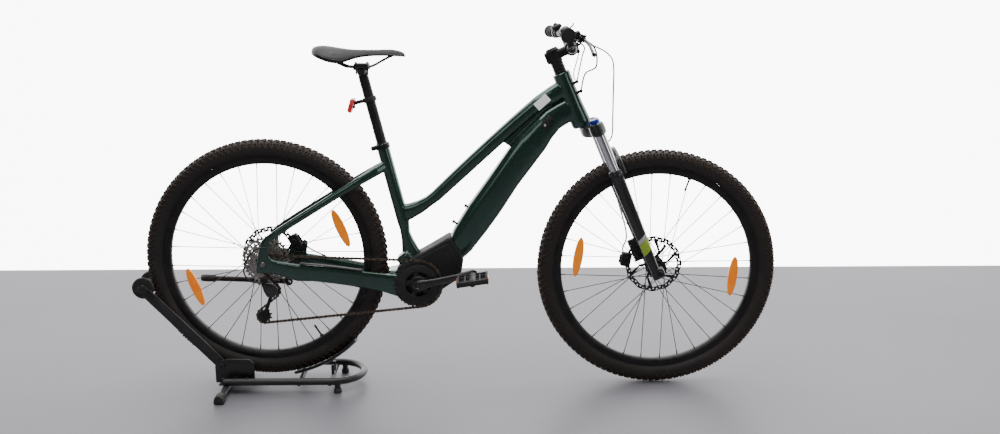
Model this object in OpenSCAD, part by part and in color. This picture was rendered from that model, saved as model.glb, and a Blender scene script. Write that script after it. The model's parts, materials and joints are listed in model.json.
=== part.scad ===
// Low-step electric mountain bicycle held by its rear wheel in a push-in floor stand.
// X points forward, Y to the bicycle's left, Z up, and the floor is Z = 0.

/* [Whole bicycle] */
// Distance between the wheel axles
wheelbase = 1200; // [1100:1:1300]
// Outside diameter of the tyres over the knobs
tyre_d = 740; // [700:1:760]
// Height the stand lifts the rear tyre off the floor
lift = 35; // [30:1:60]
// Length of the handlebar, end to end
bar_w = 716; // [600:1:800]

/* [Frame] */
// Forward distance from the rear axle to the crank axle
bb_x = 465; // [450:1:480]
// Drop of the crank axle below the rear axle
bb_drop = 69; // [55:1:80]
// Steering axis angle from the floor
head_angle = 67; // [64:0.5:70]
// Length of the head tube
head_len = 150; // [120:1:180]
// Seat tube axis angle from the floor
seat_angle = 75.9; // [72:0.1:78]
// Length of seat tube along its axis, crank axle to collar
seat_len = 437; // [400:1:480]
// Depth of the down tube
down_depth = 82; // [70:1:95]
// Width of the down tube
down_w = 72; // [60:1:80]
// Depth of the top tube
top_depth = 32; // [26:1:40]

/* [Fork] */
// Height from the front axle to the crown race along the steering axis
axle_crown = 500; // [480:1:520]
// Forward offset of the axle from the steering axis
fork_offset = 44; // [40:1:51]
// Distance between the stanchions
leg_gap = 130; // [122:1:140]
// Diameter of the stanchions
stanchion_d = 32; // [28:1:36]
// Compression travel
travel = 80; // [60:1:100]

/* [Drive] */
// Teeth on the chainring
ring_teeth = 36; // [32:1:38]
// Teeth on the smallest sprocket
cog_teeth = 11; // [11:1:13]
// Length of the crank arms between axles
crank_len = 170; // [160:1:175]
// Crank angle at rest, right arm above forward
crank_angle = 12.5; // [0:1:90]
// Distance of the chain from the middle plane
chain_y = 58; // [56:1:60]

/* [Seat] */
// Height of the saddle's top above the collar, along the post
saddle_up = 290; // [240:1:320]
// Diameter of the seatpost
post_d = 30.8; // [27:0.1:34]

/* [Stand] */
// Width between the middles of the two base rails
rail_gap = 180; // [160:1:220]
// Diameter of the base tube
rail_d = 22; // [19:1:28]
// Length of the rear cross tube
cross_len = 370; // [300:1:420]

/* [Hidden] */
gap = 0.4;                                   // clearance between separate bodies
run = 0.05;                                  // running fit, radial
green = [0.06, 0.16, 0.13];
tyre_r = tyre_d / 2;
rear_x = -584 - (wheelbase - 1200) / 2;      // rear axle in the part's frame
rear_z = tyre_r + lift;
front_z = tyre_r;
bb_z = rear_z - bb_drop;
rim_r = tyre_r - 51.8;                       // rim flange tip
rim_in = tyre_r - 76;                        // rim inner edge
tyre_mid = (rim_r + 22 + tyre_r - 29.8) / 2; // middle of the casing's section
casing = tyre_r - tyre_mid;                  // casing section radius
head_tilt = head_angle - 90;
foot_x = wheelbase - fork_offset * sin(head_angle);
foot_z = front_z - fork_offset * cos(head_angle);
leg_p = fork_offset - 10;                    // leg axis ahead of the steering axis
head_lo = axle_crown + 16;
head_hi = head_lo + head_len;
stem_lo = head_hi + 39;
stem_hi = stem_lo + 40;
clamp_p = 55;                                // bar clamp ahead of the steering axis
clamp_t = stem_lo + 21;
link = 12.7;                                 // chain pitch
pulley_teeth = 11;
guide = [22, 318];                           // upper jockey wheel
tension = [-6, 238];                         // lower jockey wheel
axle_half = 71;                              // inner face of the rear dropouts
fork_half = 52;                              // inner face of the fork ends
arm_pivot = [-145, 78];
arm_roll = [-376, 322];
drop = tyre_r + lift - 405;                  // how far the rear wheel is from its usual height

function unit(v) = v / norm(v);
function dir2(a) = [cos(a), sin(a)];
// Side-view places: from the rear axle, from the crank axle, and from the steering axis
function ax(x, z) = [x, rear_z + z];
function bb(x, z) = [bb_x + x, bb_z + z];
function st(p, t) = [steered(p, 0, t).x, steered(p, 0, t).z];
// Steering-axis position (ahead, left, up the axis) in bicycle coordinates
function steered(p, y, t) = [
  foot_x + p * sin(head_angle) - t * cos(head_angle), y,
  foot_z + p * cos(head_angle) + t * sin(head_angle)];
// Seat tube position, a distance up its axis from the crank axle
function seat_at(s, back = 0) = [
  bb_x - s * cos(seat_angle) - back * sin(seat_angle), 0,
  bb_z + s * sin(seat_angle) - back * cos(seat_angle)];

module bike() { translate([rear_x, 0, 0]) children(); }
module at_rear() { bike() translate([0, 0, rear_z]) children(); }
module at_front() { bike() translate([wheelbase, 0, front_z]) children(); }
module steer() { bike() translate([foot_x, 0, foot_z]) rotate([0, head_tilt, 0]) children(); }
module seat_axis() { bike() translate([bb_x, 0, bb_z]) rotate([0, seat_angle - 90, 0]) children(); }
module across(r, y0, y1) { translate([0, y1, 0]) rotate([90, 0, 0]) cylinder(r = r, h = y1 - y0); }
module side(y0, y1) { translate([0, y1, 0]) rotate([90, 0, 0]) linear_extrude(y1 - y0) children(); }
module spun() { rotate([-90, 0, 0]) rotate_extrude() children(); }
module both() { children(); mirror([0, 1, 0]) children(); }

// Round bar between two points
module rod(p, q, r, r2 = -1) {
  v = q - p;
  translate(p)
    rotate([0, acos(v.z / norm(v)), atan2(v.y, v.x)])
      cylinder(r1 = r, r2 = r2 < 0 ? r : r2, h = norm(v));
}

// Round tube through a list of points
module tube(points, r) {
  for (i = [0 : len(points) - 2]) rod(points[i], points[i + 1], r);
  for (i = [1 : len(points) - 2]) translate(points[i]) sphere(r * 1.04);
}

// Smooth curve through points, with a few steps between each pair
function curve(p, steps = 5) = let (n = len(p)) concat(
  [for (i = [0 : n - 2], k = [0 : steps - 1])
    let (t = k / steps, a = p[max(i - 1, 0)], b = p[i], c = p[i + 1], d = p[min(i + 2, n - 1)])
    0.5 * (2 * b + (c - a) * t + (2 * a - 5 * b + 4 * c - d) * t * t + (3 * b - a - 3 * c + d) * t * t * t)],
  [p[n - 1]]);
function normals(v, n0, i = 0) = i == len(v) ? [] :
  let (n = unit(n0 - (n0 * v[i]) * v[i])) concat([n], normals(v, n, i + 1));

// Hose or cable swept along a curve
module hose(points, r, sides = 8) {
  c = curve(points);
  n = len(c);
  v = [for (i = [0 : n - 1]) unit(c[min(i + 1, n - 1)] - c[max(i - 1, 0)])];
  u = normals(v, abs(v[0].z) < 0.9 ? cross(v[0], [0, 0, 1]) : cross(v[0], [1, 0, 0]));
  rings = [for (i = [0 : n - 1], k = [0 : sides - 1])
    c[i] + r * (cos(k * 360 / sides) * u[i] + sin(k * 360 / sides) * cross(v[i], u[i]))];
  polyhedron(rings, concat([[for (k = [0 : sides - 1]) k]],
    [[for (k = [sides - 1 : -1 : 0]) (n - 1) * sides + k]],
    [for (i = [0 : n - 2], k = [0 : sides - 1])
      [i * sides + (k + 1) % sides, i * sides + k, (i + 1) * sides + k, (i + 1) * sides + (k + 1) % sides]]));
}

// Bar with a side outline and a plan outline, both seen square on
module two_views(side_points, plan_points, y0, y1, z1) {
  intersection() {
    side(y0, y1) polygon(side_points);
    linear_extrude(z1) polygon(plan_points);
  }
}

// ---- Chain line: tangents and arcs round four toothed wheels ----
function pitch_r(n) = link / (2 * sin(180 / n));
wheels = [[[bb_x, bb_z], ring_teeth, 1], [[tension.x, tension.y + drop], pulley_teeth, 1],
  [[guide.x, guide.y + drop], pulley_teeth, -1], [[0, rear_z], cog_teeth, 1]];
function heading(a, b) =
  let (v = b[0] - a[0], h = b[2] * pitch_r(b[1]) - a[2] * pitch_r(a[1]))
  atan2(v.y, v.x) + asin(h / norm(v));
heads = [for (i = [0 : 3]) heading(wheels[i], wheels[(i + 1) % 4])];
function wrap(a) = a - 360 * floor(a / 360);
function arc_deg(i) = wrap(wheels[i][2] * (heads[(i + 3) % 4] - heads[i]));
function rim_point(i, a) = wheels[i][0] + pitch_r(wheels[i][1]) * dir2(a);
function leave_deg(i) = heads[i] + 90 * wheels[i][2];
function enter_deg(i) = heads[(i + 3) % 4] + 90 * wheels[i][2];
run_len = [for (i = [0 : 3])
  norm(rim_point((i + 1) % 4, enter_deg((i + 1) % 4)) - rim_point(i, leave_deg(i))) / link];
arc_len = [for (i = [0 : 3]) arc_deg(i) / 360 * wheels[i][1]];
sum_len = run_len[0] + run_len[1] + run_len[2] + run_len[3]
  + arc_len[0] + arc_len[1] + arc_len[2] + arc_len[3];
links = 2 * round(sum_len / 2);
// The lower run takes up the fraction of a link
spans = [arc_len[0], run_len[0] + links - sum_len, arc_len[1], run_len[1],
  arc_len[2], run_len[2], arc_len[3], run_len[3]];
function before(k) = k == 0 ? 0 : before(k - 1) + spans[k - 1];
starts = [for (k = [0 : 8]) before(k)];
function chain_seg(s, k = 0) = (k == 7 || s < starts[k + 1]) ? k : chain_seg(s, k + 1);
function chain_at(s) =
  let (k = chain_seg(s), w = floor(k / 2), f = s - starts[k])
  k % 2 == 0
    ? rim_point(w, enter_deg(w) - wheels[w][2] * f * 360 / wheels[w][1])
    : let (p = rim_point(w, leave_deg(w)), q = rim_point((w + 1) % 4, enter_deg((w + 1) % 4)))
      p + (q - p) * f / spans[k];
pins = [for (i = [0 : links - 1]) chain_at(i)];
// Angle of a roller's place on wheel w
function mesh_deg(w) = enter_deg(w) + wheels[w][2] * starts[2 * w] * 360 / wheels[w][1];

// Toothed outline with a gap at the given angle
module teeth(n, gap_deg = 0, tip = 3.2) {
  r = pitch_r(n);
  root = r - 4.3;
  wr = 2.1 / root * 180 / PI;
  wt = 0.8 / (r + tip) * 180 / PI;
  polygon([for (i = [0 : n - 1]) let (a = gap_deg + (i + 0.5) * 360 / n)
    each [root * dir2(a - wr), (r + tip) * dir2(a - wt), (r + tip) * dir2(a + wt), root * dir2(a + wr)]]);
}

// ---- Stand ----
// Trough the tyre rests in, on four posts
module cradle() {
  bike() {
    intersection() {
      translate([0, 0, rear_z]) rotate([90, 0, 0]) union() {
        rotate_extrude() translate([tyre_r + 1.2, -26]) square([4, 52]);
        rotate_extrude() translate([tyre_r - 10, -39]) square([18, 3]);
        rotate_extrude() translate([tyre_r - 10, 36]) square([18, 3]);
        rotate_extrude() polygon([[tyre_r + 1.2, 24], [tyre_r - 4, 39], [tyre_r, 39], [tyre_r + 5.2, 26]]);
        rotate_extrude() polygon([[tyre_r + 1.2, -24], [tyre_r + 5.2, -26], [tyre_r, -39],
          [tyre_r - 4, -39]]);
      }
      side(-60, 60) polygon([[0, rear_z], [75, 0], [300, 0], [300, rear_z - 370 * sin(44)]]);
    }
    for (x = [95, 190]) for (y = [-18, 18])
      rod([x, y, rail_d / 2 + 15], [x, y, rear_z - sqrt(pow(tyre_r + 3, 2) - x * x)], 5);
  }
}

module stand_base() {
  color([0.05, 0.05, 0.055]) cradle();
  color([0.05, 0.05, 0.055]) bike() {
    rr = rail_d / 2;
    rail_z = 25 + rr;
    front = 195;
    translate([-128, 0, 14]) across(12.5, -cross_len / 2 + 20, cross_len / 2 - 20);
    both() {
      rod([-134, rail_gap / 2, rail_z], [front, rail_gap / 2, rail_z], rr);
      rod([214, rail_gap / 2 - 2, 13], [214, rail_gap / 2 - 2, rail_z], 9);
      // bracket plate that carries the arm, with the pivot stub
      side(57, 61) union() {
        polygon([[-165, 24], [-45, 24], [-45, 86], [-60, 98], [-120, 100], [-165, 84]]);
        translate([arm_pivot.x, arm_pivot.y]) circle(20);
      }
      translate([arm_pivot.x, 0, arm_pivot.y]) across(6, 44, 66);
      translate([arm_pivot.x, 0, arm_pivot.y]) across(9, 61, 66);
      translate([-62, 0, 54]) across(5, 56, 65);
      // cross plates tying the bracket to the rail
      translate([-150, 60, 24]) cube([100, rail_gap / 2 - 60, 4]);
    }
    translate([front, 0, rail_z]) rotate([0, 0, -90])
      rotate_extrude(angle = 180) translate([rail_gap / 2, 0]) circle(rr);
    // cross bars the cradle stands on
    for (x = [95, 190]) translate([x, 0, rail_z - 8]) across(7, -rail_gap / 2, rail_gap / 2);
  }
}

module stand_feet() {
  color([0.03, 0.03, 0.03]) bike() both() {
    difference() {
      union() {
        translate([-128, 0, 14]) across(13.8, cross_len / 2 - 32, cross_len / 2);
        translate([-143, cross_len / 2 - 32, 0]) cube([30, 32, 14]);
      }
      translate([-128, 0, 14]) across(12.5, 0, cross_len / 2 - 20);
    }
    translate([214, rail_gap / 2 - 2, 0]) cylinder(r = 12, h = 13);
  }
}

module stand_arms() {
  color([0.05, 0.05, 0.055]) bike() {
    p = [arm_pivot.x, 0, arm_pivot.y];
    q = [arm_roll.x, 0, arm_roll.y];
    a = atan2(q.z - p.z, q.x - p.x);
    both() difference() {
      union() {
        translate(p) rotate([0, -a, 0]) side(47.2, 53) polygon([[0, -14], [30, -16], [norm(q - p) - 20, -16],
          [norm(q - p) + 6, -8], [norm(q - p) + 6, 8], [norm(q - p) - 20, 16], [30, 16], [0, 14]]);
        translate(p) across(17, 47, 56);
        translate(q) across(13, 45, 54);
      }
      translate(p) across(6 + run, 40, 60);
    }
    translate(q) across(6, -46, 46);
  }
}

module stand_roller() {
  color([0.03, 0.03, 0.03]) bike() translate([arm_roll.x, 0, arm_roll.y]) rotate([90, 0, 0])
    rotate_extrude() polygon([[6 + run, -44], [33, -44], [33, -36], [26, -35], [13, -33.5],
      [13, 33.5], [26, 35], [33, 36], [33, 44], [6 + run, 44]]);
}

// ---- Frame ----
module head_shape(bore) {
  steer() rotate_extrude() polygon([[bore, head_lo - 15], [27, head_lo - 15], [29.5, head_lo - 6],
    [29.5, head_lo], [28.5, head_lo], [26, head_lo + 45], [24.5, head_hi - 40], [24.5, head_hi],
    [25.5, head_hi], [25.5, head_hi + 5], [bore, head_hi + 5]]);
}

module head_tube() {
  color(green) head_shape(17);
}

// Side outline of the drive unit, behind the down tube's foot
motor_side = [bb(-60, 50), bb(-20, 76), bb(10, 94), bb(97, 146), bb(142, 76), bb(132, 30), bb(115, 4),
  bb(69, -26), bb(40, -62), bb(8, -76), bb(-30, -76), bb(-62, -52), bb(-78, -16), bb(-78, 20)];

module motor_shape(half) {
  side(-half, half) polygon(motor_side);
}

// Battery bay along the down tube
module bay(shrink = 0) {
  p = bb(176, 176);
  q = st(-104, head_lo + 36);
  v = q - p;
  translate([p.x, 0, p.y]) rotate([0, -atan2(v.y, v.x), 0])
    translate([shrink, -27 + shrink, -24 + shrink])
      cube([norm(v) - 2 * shrink, 54 - 2 * shrink, 48 - 2 * shrink]);
}

module down_tube_solid() {
  w = down_w / 2;
  d = down_depth - 82;
  bike() two_views(
      [bb(99, 149), bb(114, 171), bb(161 - d, 236), bb(278 - d, 399), bb(309, 445), st(-116, head_lo + 62),
        st(-94, head_lo + 70), st(-10, head_lo + 80), st(-10, head_lo + 6), st(-32, head_lo + 10),
        st(-70, head_lo + 6), st(-115, head_lo - 19), bb(278, 258), bb(207, 158), bb(161, 98), bb(142, 76)],
      [[bb_x, -w], [bb_x + 270, -w], [bb_x + 400, 8 - w], [steered(-20, 0, head_lo).x + 40, -22],
        [steered(-20, 0, head_lo).x + 40, 22], [bb_x + 400, w - 8], [bb_x + 270, w], [bb_x, w]],
      -w, w, 1300);
}

module down_tube() {
  color(green) difference() {
    down_tube_solid();
    head_shape(0);
    bike() bay();
  }
}

module battery() {
  color([0.08, 0.08, 0.09]) bike() bay(1.5);
}

module top_tube() {
  d = top_depth - 32;
  color(green) difference() {
    bike() union() {
      two_views(
        [bb(-46, 237), bb(24, 259 + d), bb(43, 271 + d), bb(223, 436 + d), st(-98.8, head_lo + 112 + d),
          st(-45.8, head_lo + 130 + d), st(-10, head_lo + 136), st(-10, head_lo + 84), st(-90, head_lo + 78),
          st(-112, head_lo + 72), bb(293, 455), bb(227, 397), bb(87, 277), bb(45, 234), bb(-32, 187),
            bb(-46, 190)],
        [[bb_x - 60, -16], [bb_x + 60, -15], [bb_x + 250, -17], [bb_x + 390, -23], [bb_x + 500, -23],
          [bb_x + 500, 23], [bb_x + 390, 23], [bb_x + 250, 17], [bb_x + 60, 15], [bb_x - 60, 16]],
        -24, 24, 1300);
      // web that ties the two tubes together behind the head tube
      side(-8, 8) polygon([bb(262, 428), bb(288, 411), bb(318, 452), bb(352, 488), bb(388, 518),
        bb(384, 534), bb(344, 512), bb(310, 478)]);
    }
    down_tube_solid();
    head_shape(0);
    seat_axis() cylinder(r = post_d / 2 + 2.2, h = 600);
    bike() seat_foot();
  }
}

// Flared foot of the seat tube, over the motor
module seat_foot() {
  side(-17, 17) polygon([bb(-61, 186), bb(-57, 164), bb(-52, 132), bb(-51, 92), bb(-51, 50),
    bb(-10, 64), bb(9, 88),
    bb(-8, 110), bb(-21, 132), bb(-30, 163), bb(-30, 182)]);
}

module seat_tube() {
  color(green) difference() {
    union() {
      seat_axis() translate([0, 0, 70]) cylinder(r = post_d / 2 + 2.2, h = seat_len - 70);
      bike() seat_foot();
    }
    seat_axis() translate([0, 0, 190]) cylinder(r = post_d / 2 + run, h = seat_len);
    bike() motor_shape(50);
  }
}

module seat_collar() {
  r = post_d / 2 + 2.2;
  color([0.04, 0.04, 0.045]) seat_axis() translate([0, 0, seat_len - 16]) difference() {
    union() {
      cylinder(r = r + 4.5, h = 15);
      translate([-r - 17, -9, 1]) cube([16, 18, 13]);
      translate([-r - 11, 0, 7.5]) across(4.5, -17, 15);
    }
    translate([0, 0, -1]) cylinder(r = r + 0.02, h = 20);
    translate([-r - 20, -1, -1]) cube([20, 2, 20]);
  }
}

module rear_triangle() {
  chainstay = [ax(-20, -26), ax(-20, 14), ax(34, 10), ax(96, -4), ax(303, -30), bb(-60, 24), bb(-40, 24),
    bb(-40, -60), bb(-55, -54), bb(-105, -19), ax(286, -80), ax(143, -55), ax(94, -60), ax(40, -34)];
  chainstay_plan = [[-25, -82], [60, -82], [150, -72], [300, -57], [bb_x - 65, -53], [bb_x - 20, -53],
    [bb_x - 20, -36], [bb_x - 80, -36], [300, -39.5], [150, -56], [80, -68], [45, -71.5], [-25, -71.5]];
  top = seat_at(seat_len - 60);
  seatstay = [ax(-14, 8), ax(-12.5, 25), ax(-3, 66), ax(14, 81), ax(33, 98), ax(56, 117), ax(153, 177),
    [top.x - 92, top.z - 52], [top.x + 2, top.z + 3], [top.x + 8, top.z - 27], [top.x - 70, top.z - 64],
    ax(171, 162), ax(115, 127), ax(40, 80), ax(24, 69), ax(18, 25), ax(18, 8)];
  far = seat_at(seat_len - 60, 0).x + 12;
  seatstay_plan = [[-25, -82], [50, -80], [150, -64], [280, -50], [far - 42, -33], [far, -18],
    [far, 0], [far - 27, -5], [far - 57, -32], [280, -37], [150, -50], [80, -67], [45, -71.5], [-25, -71.5]];
  color(green) difference() {
    union() {
      bike() both() {
        two_views(chainstay, chainstay_plan, -90, 0, 1300);
        two_views(seatstay, seatstay_plan, -90, 0, 1300);
        side(-82, -71.5) polygon([ax(-20, -27), ax(-18, -6), ax(-12.5, 25), ax(-3, 66), ax(14, 81),
          ax(24, 69),
          ax(18, 30), ax(22, 18), ax(34, 12), ax(44, -28)]);
      }
      // derailleur hanger
      bike() side(-80, -74) polygon([ax(-8, -20), ax(-6, -50), ax(4, -56), ax(14, -50), ax(24, -20)]);
      bike() translate([4, 0, rear_z - 48]) across(10, -90, -76);
      // kickstand bracket with its pivot
      bike() side(72, 78) polygon([ax(40, -34), ax(94, -58), ax(82, -92), ax(44, -112), ax(26, -104)]);
      bike() translate([44, 0, rear_z - 97]) across(6, 72, 97);
      // yoke between the chainstays and the seat tube's foot
      bike() side(-46, 46) polygon([bb(-84, -34), bb(-86, 18), bb(-66, 50), bb(-60, 52), bb(-60, -40)]);
      bike() side(-32, 32) polygon([bb(-84, -34), bb(-86, 18), bb(-66, 50), bb(-52, 64), bb(-51, 90),
        bb(-8, 104),
        bb(8, 96), bb(-20, 72), bb(-60, 40), bb(-60, -40)]);
      // brake mount
      bike() side(66, 72) polygon([ax(58, 2), ax(58, 20), ax(104, 46), ax(112, 38), ax(100, -6)]);
    }
    at_rear() across(6, -100, 100);
    bike() motor_shape(50);
    seat_axis() cylinder(r = post_d / 2 + 2.2, h = 600);
    bike() seat_foot();
    at_rear() across(tyre_r + 5, -34.5, 34.5);
  }
}

// ---- Drive ----
module motor() {
  color([0.05, 0.05, 0.055]) bike() difference() {
    motor_shape(46);
    translate([bb_x, 0, bb_z]) across(13, -60, 60);
  }
}

module motor_cover() {
  color([0.03, 0.03, 0.032]) bike() difference() {
    both() side(-50, -46.2) difference() {
      polygon(motor_side);
      translate(bb(0, 0)) circle(26);
    }
  }
}

module at_crank() { bike() translate([bb_x, 0, bb_z]) rotate([0, -crank_angle, 0]) children(); }

module cranks() {
  color([0.06, 0.06, 0.065]) at_crank() {
    across(13 - 0.06, -76, 76);
    for (s = [-1, 1]) {
      y0 = s < 0 ? -88 : 72;
      side(y0, y0 + 16) difference() {
        union() {
          circle(20);
          polygon([[0, -18], [0, 18], [-s * crank_len, 12], [-s * crank_len, -12]]);
          translate([-s * crank_len, 0]) circle(13);
        }
        translate([-s * crank_len, 0]) circle(7);
      }
    }
  }
}

module chainring() {
  // ring, spider and the thin guard outside it
  color([0.05, 0.05, 0.05]) bike() translate([bb_x, 0, bb_z]) {
    side(-chain_y - 0.95, -chain_y + 0.95) difference() {
      teeth(ring_teeth, mesh_deg(0));
      circle(13.2);
      for (a = [0 : 72 : 288]) rotate(a) translate([42, 0]) circle(13);
    }
    side(-chain_y - 8, -chain_y - 4.6) difference() {
      circle(62);
      circle(20.6);
    }
    for (a = [36 : 72 : 324]) rotate([0, a, 0]) translate([48, 0, 0]) across(4, -chain_y - 5, -chain_y);
    side(-chain_y + 0.9, -51) difference() {
      circle(24);
      circle(13.2);
    }
  }
}

// Flat pedal, platform along the axle, on the crank's end
module pedal(s) {
  // s is -1 for the right pedal and 1 for the left
  y0 = s < 0 ? -196 : 93;
  at_crank() translate([-s * crank_len, 0, 0]) rotate([0, crank_angle, 0]) rotate([0, -8, 0]) difference() {
    union() {
      difference() {
        translate([-48, y0, -9]) cube([96, 103, 18]);
        for (x = [-38, 16]) for (k = [0 : 2])
          translate([x, y0 + 8 + k * 30, -10]) cube([22, 26, 20]);
      }
      across(13, y0 + 1, y0 + 102);
    }
    across(7.06, s < 0 ? y0 + 8 : y0 - 1, s < 0 ? y0 + 104 : y0 + 95);
  }
}

module pedal_right() {
  color([0.04, 0.04, 0.04]) pedal(-1);
}

module pedal_left() {
  color([0.04, 0.04, 0.04]) pedal(1);
}

module chain() {
  color([0.25, 0.2, 0.16]) bike() {
    for (s = [-1, 1]) {
      y0 = -chain_y + (s < 0 ? -2.9 : 1.4);
      side(y0, y0 + 1.5) for (i = [0 : links - 1]) {
        p = pins[i];
        v = pins[(i + 1) % links] - p;
        translate(p) circle(4.1);
        translate(p) rotate(atan2(v.y, v.x)) translate([0, -2.9]) square([norm(v), 5.8]);
      }
    }
    for (p = pins) translate([p.x, 0, p.y]) across(3.7, -chain_y - 1.6, -chain_y + 1.6);
  }
}

cog_list = [cog_teeth, 13, 15, 17, 20, 23, 26, 30, 36];
module cassette() {
  color([0.45, 0.42, 0.38]) at_rear() difference() {
    union() {
      for (i = [0 : 8]) side(-chain_y - 0.9 + i * 4, -chain_y + 0.9 + i * 4)
        teeth(cog_list[i], i == 0 ? mesh_deg(3) : 0, 2.6);
      across(17.5, -chain_y - 0.9, -24);
      across(15.5, -chain_y - 3.4, -chain_y);
    }
    across(10, -80, 0);
  }
}

shift_dir = [0, 0.88, -0.475];
module derailleur_body() {
  color([0.06, 0.06, 0.06]) bike() {
    side(-91, -80.4) polygon([ax(-3, -62), ax(36, -62), ax(42, -76), ax(34, -96), ax(14, -98), ax(5, -80)]);
    g = [guide.x, guide.y];
    translate([g.x, 0, g.y + drop]) across(14, -88, -70.2);
  }
}

module cage_plate(y0, y1) {
  side(y0, y1) union() {
    g = [guide.x, guide.y + drop];
    t = [tension.x, tension.y + drop];
    v = t - g;
    translate(g) circle(11);
    translate(t) circle(9);
    translate(g) rotate(atan2(v.y, v.x)) translate([0, -8]) square([norm(v), 14]);
  }
}

module derailleur_cage() {
  color([0.05, 0.05, 0.05]) bike() {
    cage_plate(-chain_y - 8, -chain_y - 6);
    cage_plate(-chain_y + 6, -chain_y + 8);
    for (p = [guide, tension]) translate([p.x, 0, p.y + drop]) across(3, -chain_y - 7, -chain_y + 7);
    translate([guide.x, 0, guide.y + drop]) across(9, -chain_y - 11.6, -chain_y - 7);
  }
}

module jockey(p, w) {
  color([0.03, 0.03, 0.03]) bike() translate([p.x, 0, p.y + drop]) difference() {
    union() {
      side(-chain_y - 0.95, -chain_y + 0.95) teeth(pulley_teeth, mesh_deg(w), 1.6);
      across(12, -chain_y - 3.4, -chain_y + 3.4);
    }
    across(3 + run, -chain_y - 9, -chain_y + 9);
  }
}

module jockey_upper() {
  jockey(guide, 2);
}

module jockey_lower() {
  jockey(tension, 1);
}

// ---- Wheels ----
module spokes(right_y, left_y, flange_r) {
  for (k = [0 : 31]) {
    s = k % 2 == 0 ? -1 : 1;
    lead = floor(k / 2) % 2 == 0 ? 1 : -1;
    a = k * 11.25 + 4;
    h = a + lead * 63;
    y = s < 0 ? right_y - lead * 3.9 : left_y + lead * 3.9;
    p = [flange_r * cos(h), y, flange_r * sin(h)];
    q = [(rim_in - 0.2) * cos(a), s * 3.5, (rim_in - 0.2) * sin(a)];
    u = unit(q - p);
    rod(p, q - 6 * u, 1);
    rod(q - 12 * u, q - 1.5 * u, 1.9);
  }
}

module rim_shape() {
  spun() polygon([[rim_in, -8], [rim_in + 7, -15.5], [rim_r, -16], [rim_r, -14], [rim_in + 17.5, -13.6],
    [rim_in + 15, -9], [rim_in + 10, -5], [rim_in + 10, 5], [rim_in + 15, 9], [rim_in + 17.5, 13.6],
    [rim_r, 14], [rim_r, 16], [rim_in + 7, 15.5], [rim_in, 8]]);
}

module tyre_shape() {
  spun() difference() {
    translate([tyre_mid, 0]) circle(casing);
    translate([tyre_mid, 0]) circle(casing - 3.2);
    translate([0, -50]) square([rim_r + 0.05, 100]);
  }
}

module rotor_shape(r) {
  difference() {
    circle(r);
    circle(r - 14);
    for (i = [0 : 29]) rotate(i * 12) translate([r - (i % 2 == 0 ? 4.6 : 9.6), 0]) circle(2);
  }
  for (i = [0 : 5]) rotate(i * 60) polygon([[18, -4], [r - 10, 12], [r - 10, 18], [18, 5]]);
  difference() {
    circle(25);
    circle(17);
    for (i = [0 : 5]) rotate(i * 60 + 30) translate([21.5, 0]) circle(1.8);
  }
}

module wheel_reflectors(y0, places) {
  // each place is [angle, distance from the axle]
  for (p = places) rotate([0, -p.x, 0]) translate([p.y, 0, 0])
    side(y0, y0 + 8) polygon([for (k = [0 : 29]) [14 * cos(k * 12), 62 * sin(k * 12)]]);
}

module rear_hub() {
  color([0.05, 0.05, 0.055]) at_rear() spun()
    polygon([[6 + run, -23], [18, -23], [18, -20], [29, -20], [29, -17], [17, -14], [15, 0], [17, 22],
      [29, 25],
      [29, 28], [21, 29], [21, 50], [16.5, 50], [16.5, 55.1], [10, 55.1], [10, 70], [6 + run, 70]]);
}

module rear_axle() {
  color([0.1, 0.1, 0.1]) at_rear() {
    across(6, -86, 84);
    across(9.6, -71, -chain_y - 4);
    across(9.6, -chain_y - 4, -24);
    across(11, 82.2, 87);
  }
}

module rear_spokes() {
  color([0.35, 0.35, 0.36]) at_rear() spokes(-18.5, 26.5, 26);
}

module rear_rim() {
  color([0.03, 0.03, 0.032]) at_rear() rim_shape();
}

module rear_tyre() {
  color([0.06, 0.045, 0.035]) at_rear() tyre_shape();
}

module rear_rotor() {
  color([0.55, 0.55, 0.55]) at_rear() side(50.2, 52) rotor_shape(90);
}

module rear_reflectors() {
  color([0.95, 0.5, 0.05]) at_rear() wheel_reflectors(-24, [[23, rim_in - 45], [201, rim_in - 56]]);
}

module front_hub() {
  color([0.05, 0.05, 0.055]) at_front() spun()
    polygon([[7.5 + run, -51], [11, -51], [11, -35], [24, -33], [24, -30], [14, -27], [13, 0], [15, 22],
      [24, 26],
      [24, 29], [20, 30], [20, 42.1], [16.5, 42.1], [16.5, 45.3], [11, 45.3], [11, 51], [7.5 + run, 51]]);
}

module front_axle() {
  color([0.1, 0.1, 0.1]) at_front() {
    across(7.5, -82, 74);
    across(11, -83, -78.1);
  }
}

module front_spokes() {
  color([0.35, 0.35, 0.36]) at_front() spokes(-31.5, 27.5, 21);
}

module front_rim() {
  color([0.03, 0.03, 0.032]) at_front() rim_shape();
}

module front_tyre() {
  color([0.06, 0.045, 0.035]) at_front() tyre_shape();
}

module front_rotor() {
  color([0.55, 0.55, 0.55]) at_front() side(42.3, 44.1) rotor_shape(90);
}

module front_reflectors() {
  color([0.95, 0.5, 0.05]) at_front() wheel_reflectors(-24, [[-6, rim_in - 56], [171, rim_in - 47]]);
}

// Brake caliper straddling a disc whose middle plane is at y
module caliper(y, a, r) {
  rotate([0, -a, 0]) translate([r, 0, 0]) difference() {
    side(y - 12, y + 12) polygon([[-14, -24], [12, -26], [20, -10], [20, 14], [10, 26], [-14, 22]]);
    side(y - 1.8, y + 1.8) translate([-40, -40]) square([52, 80]);
  }
}

module rear_caliper() {
  color([0.05, 0.05, 0.05]) at_rear() caliper(51.1, 29, 84);
}

module front_caliper() {
  color([0.05, 0.05, 0.05]) at_front() caliper(43.2, 170, 86);
}

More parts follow.
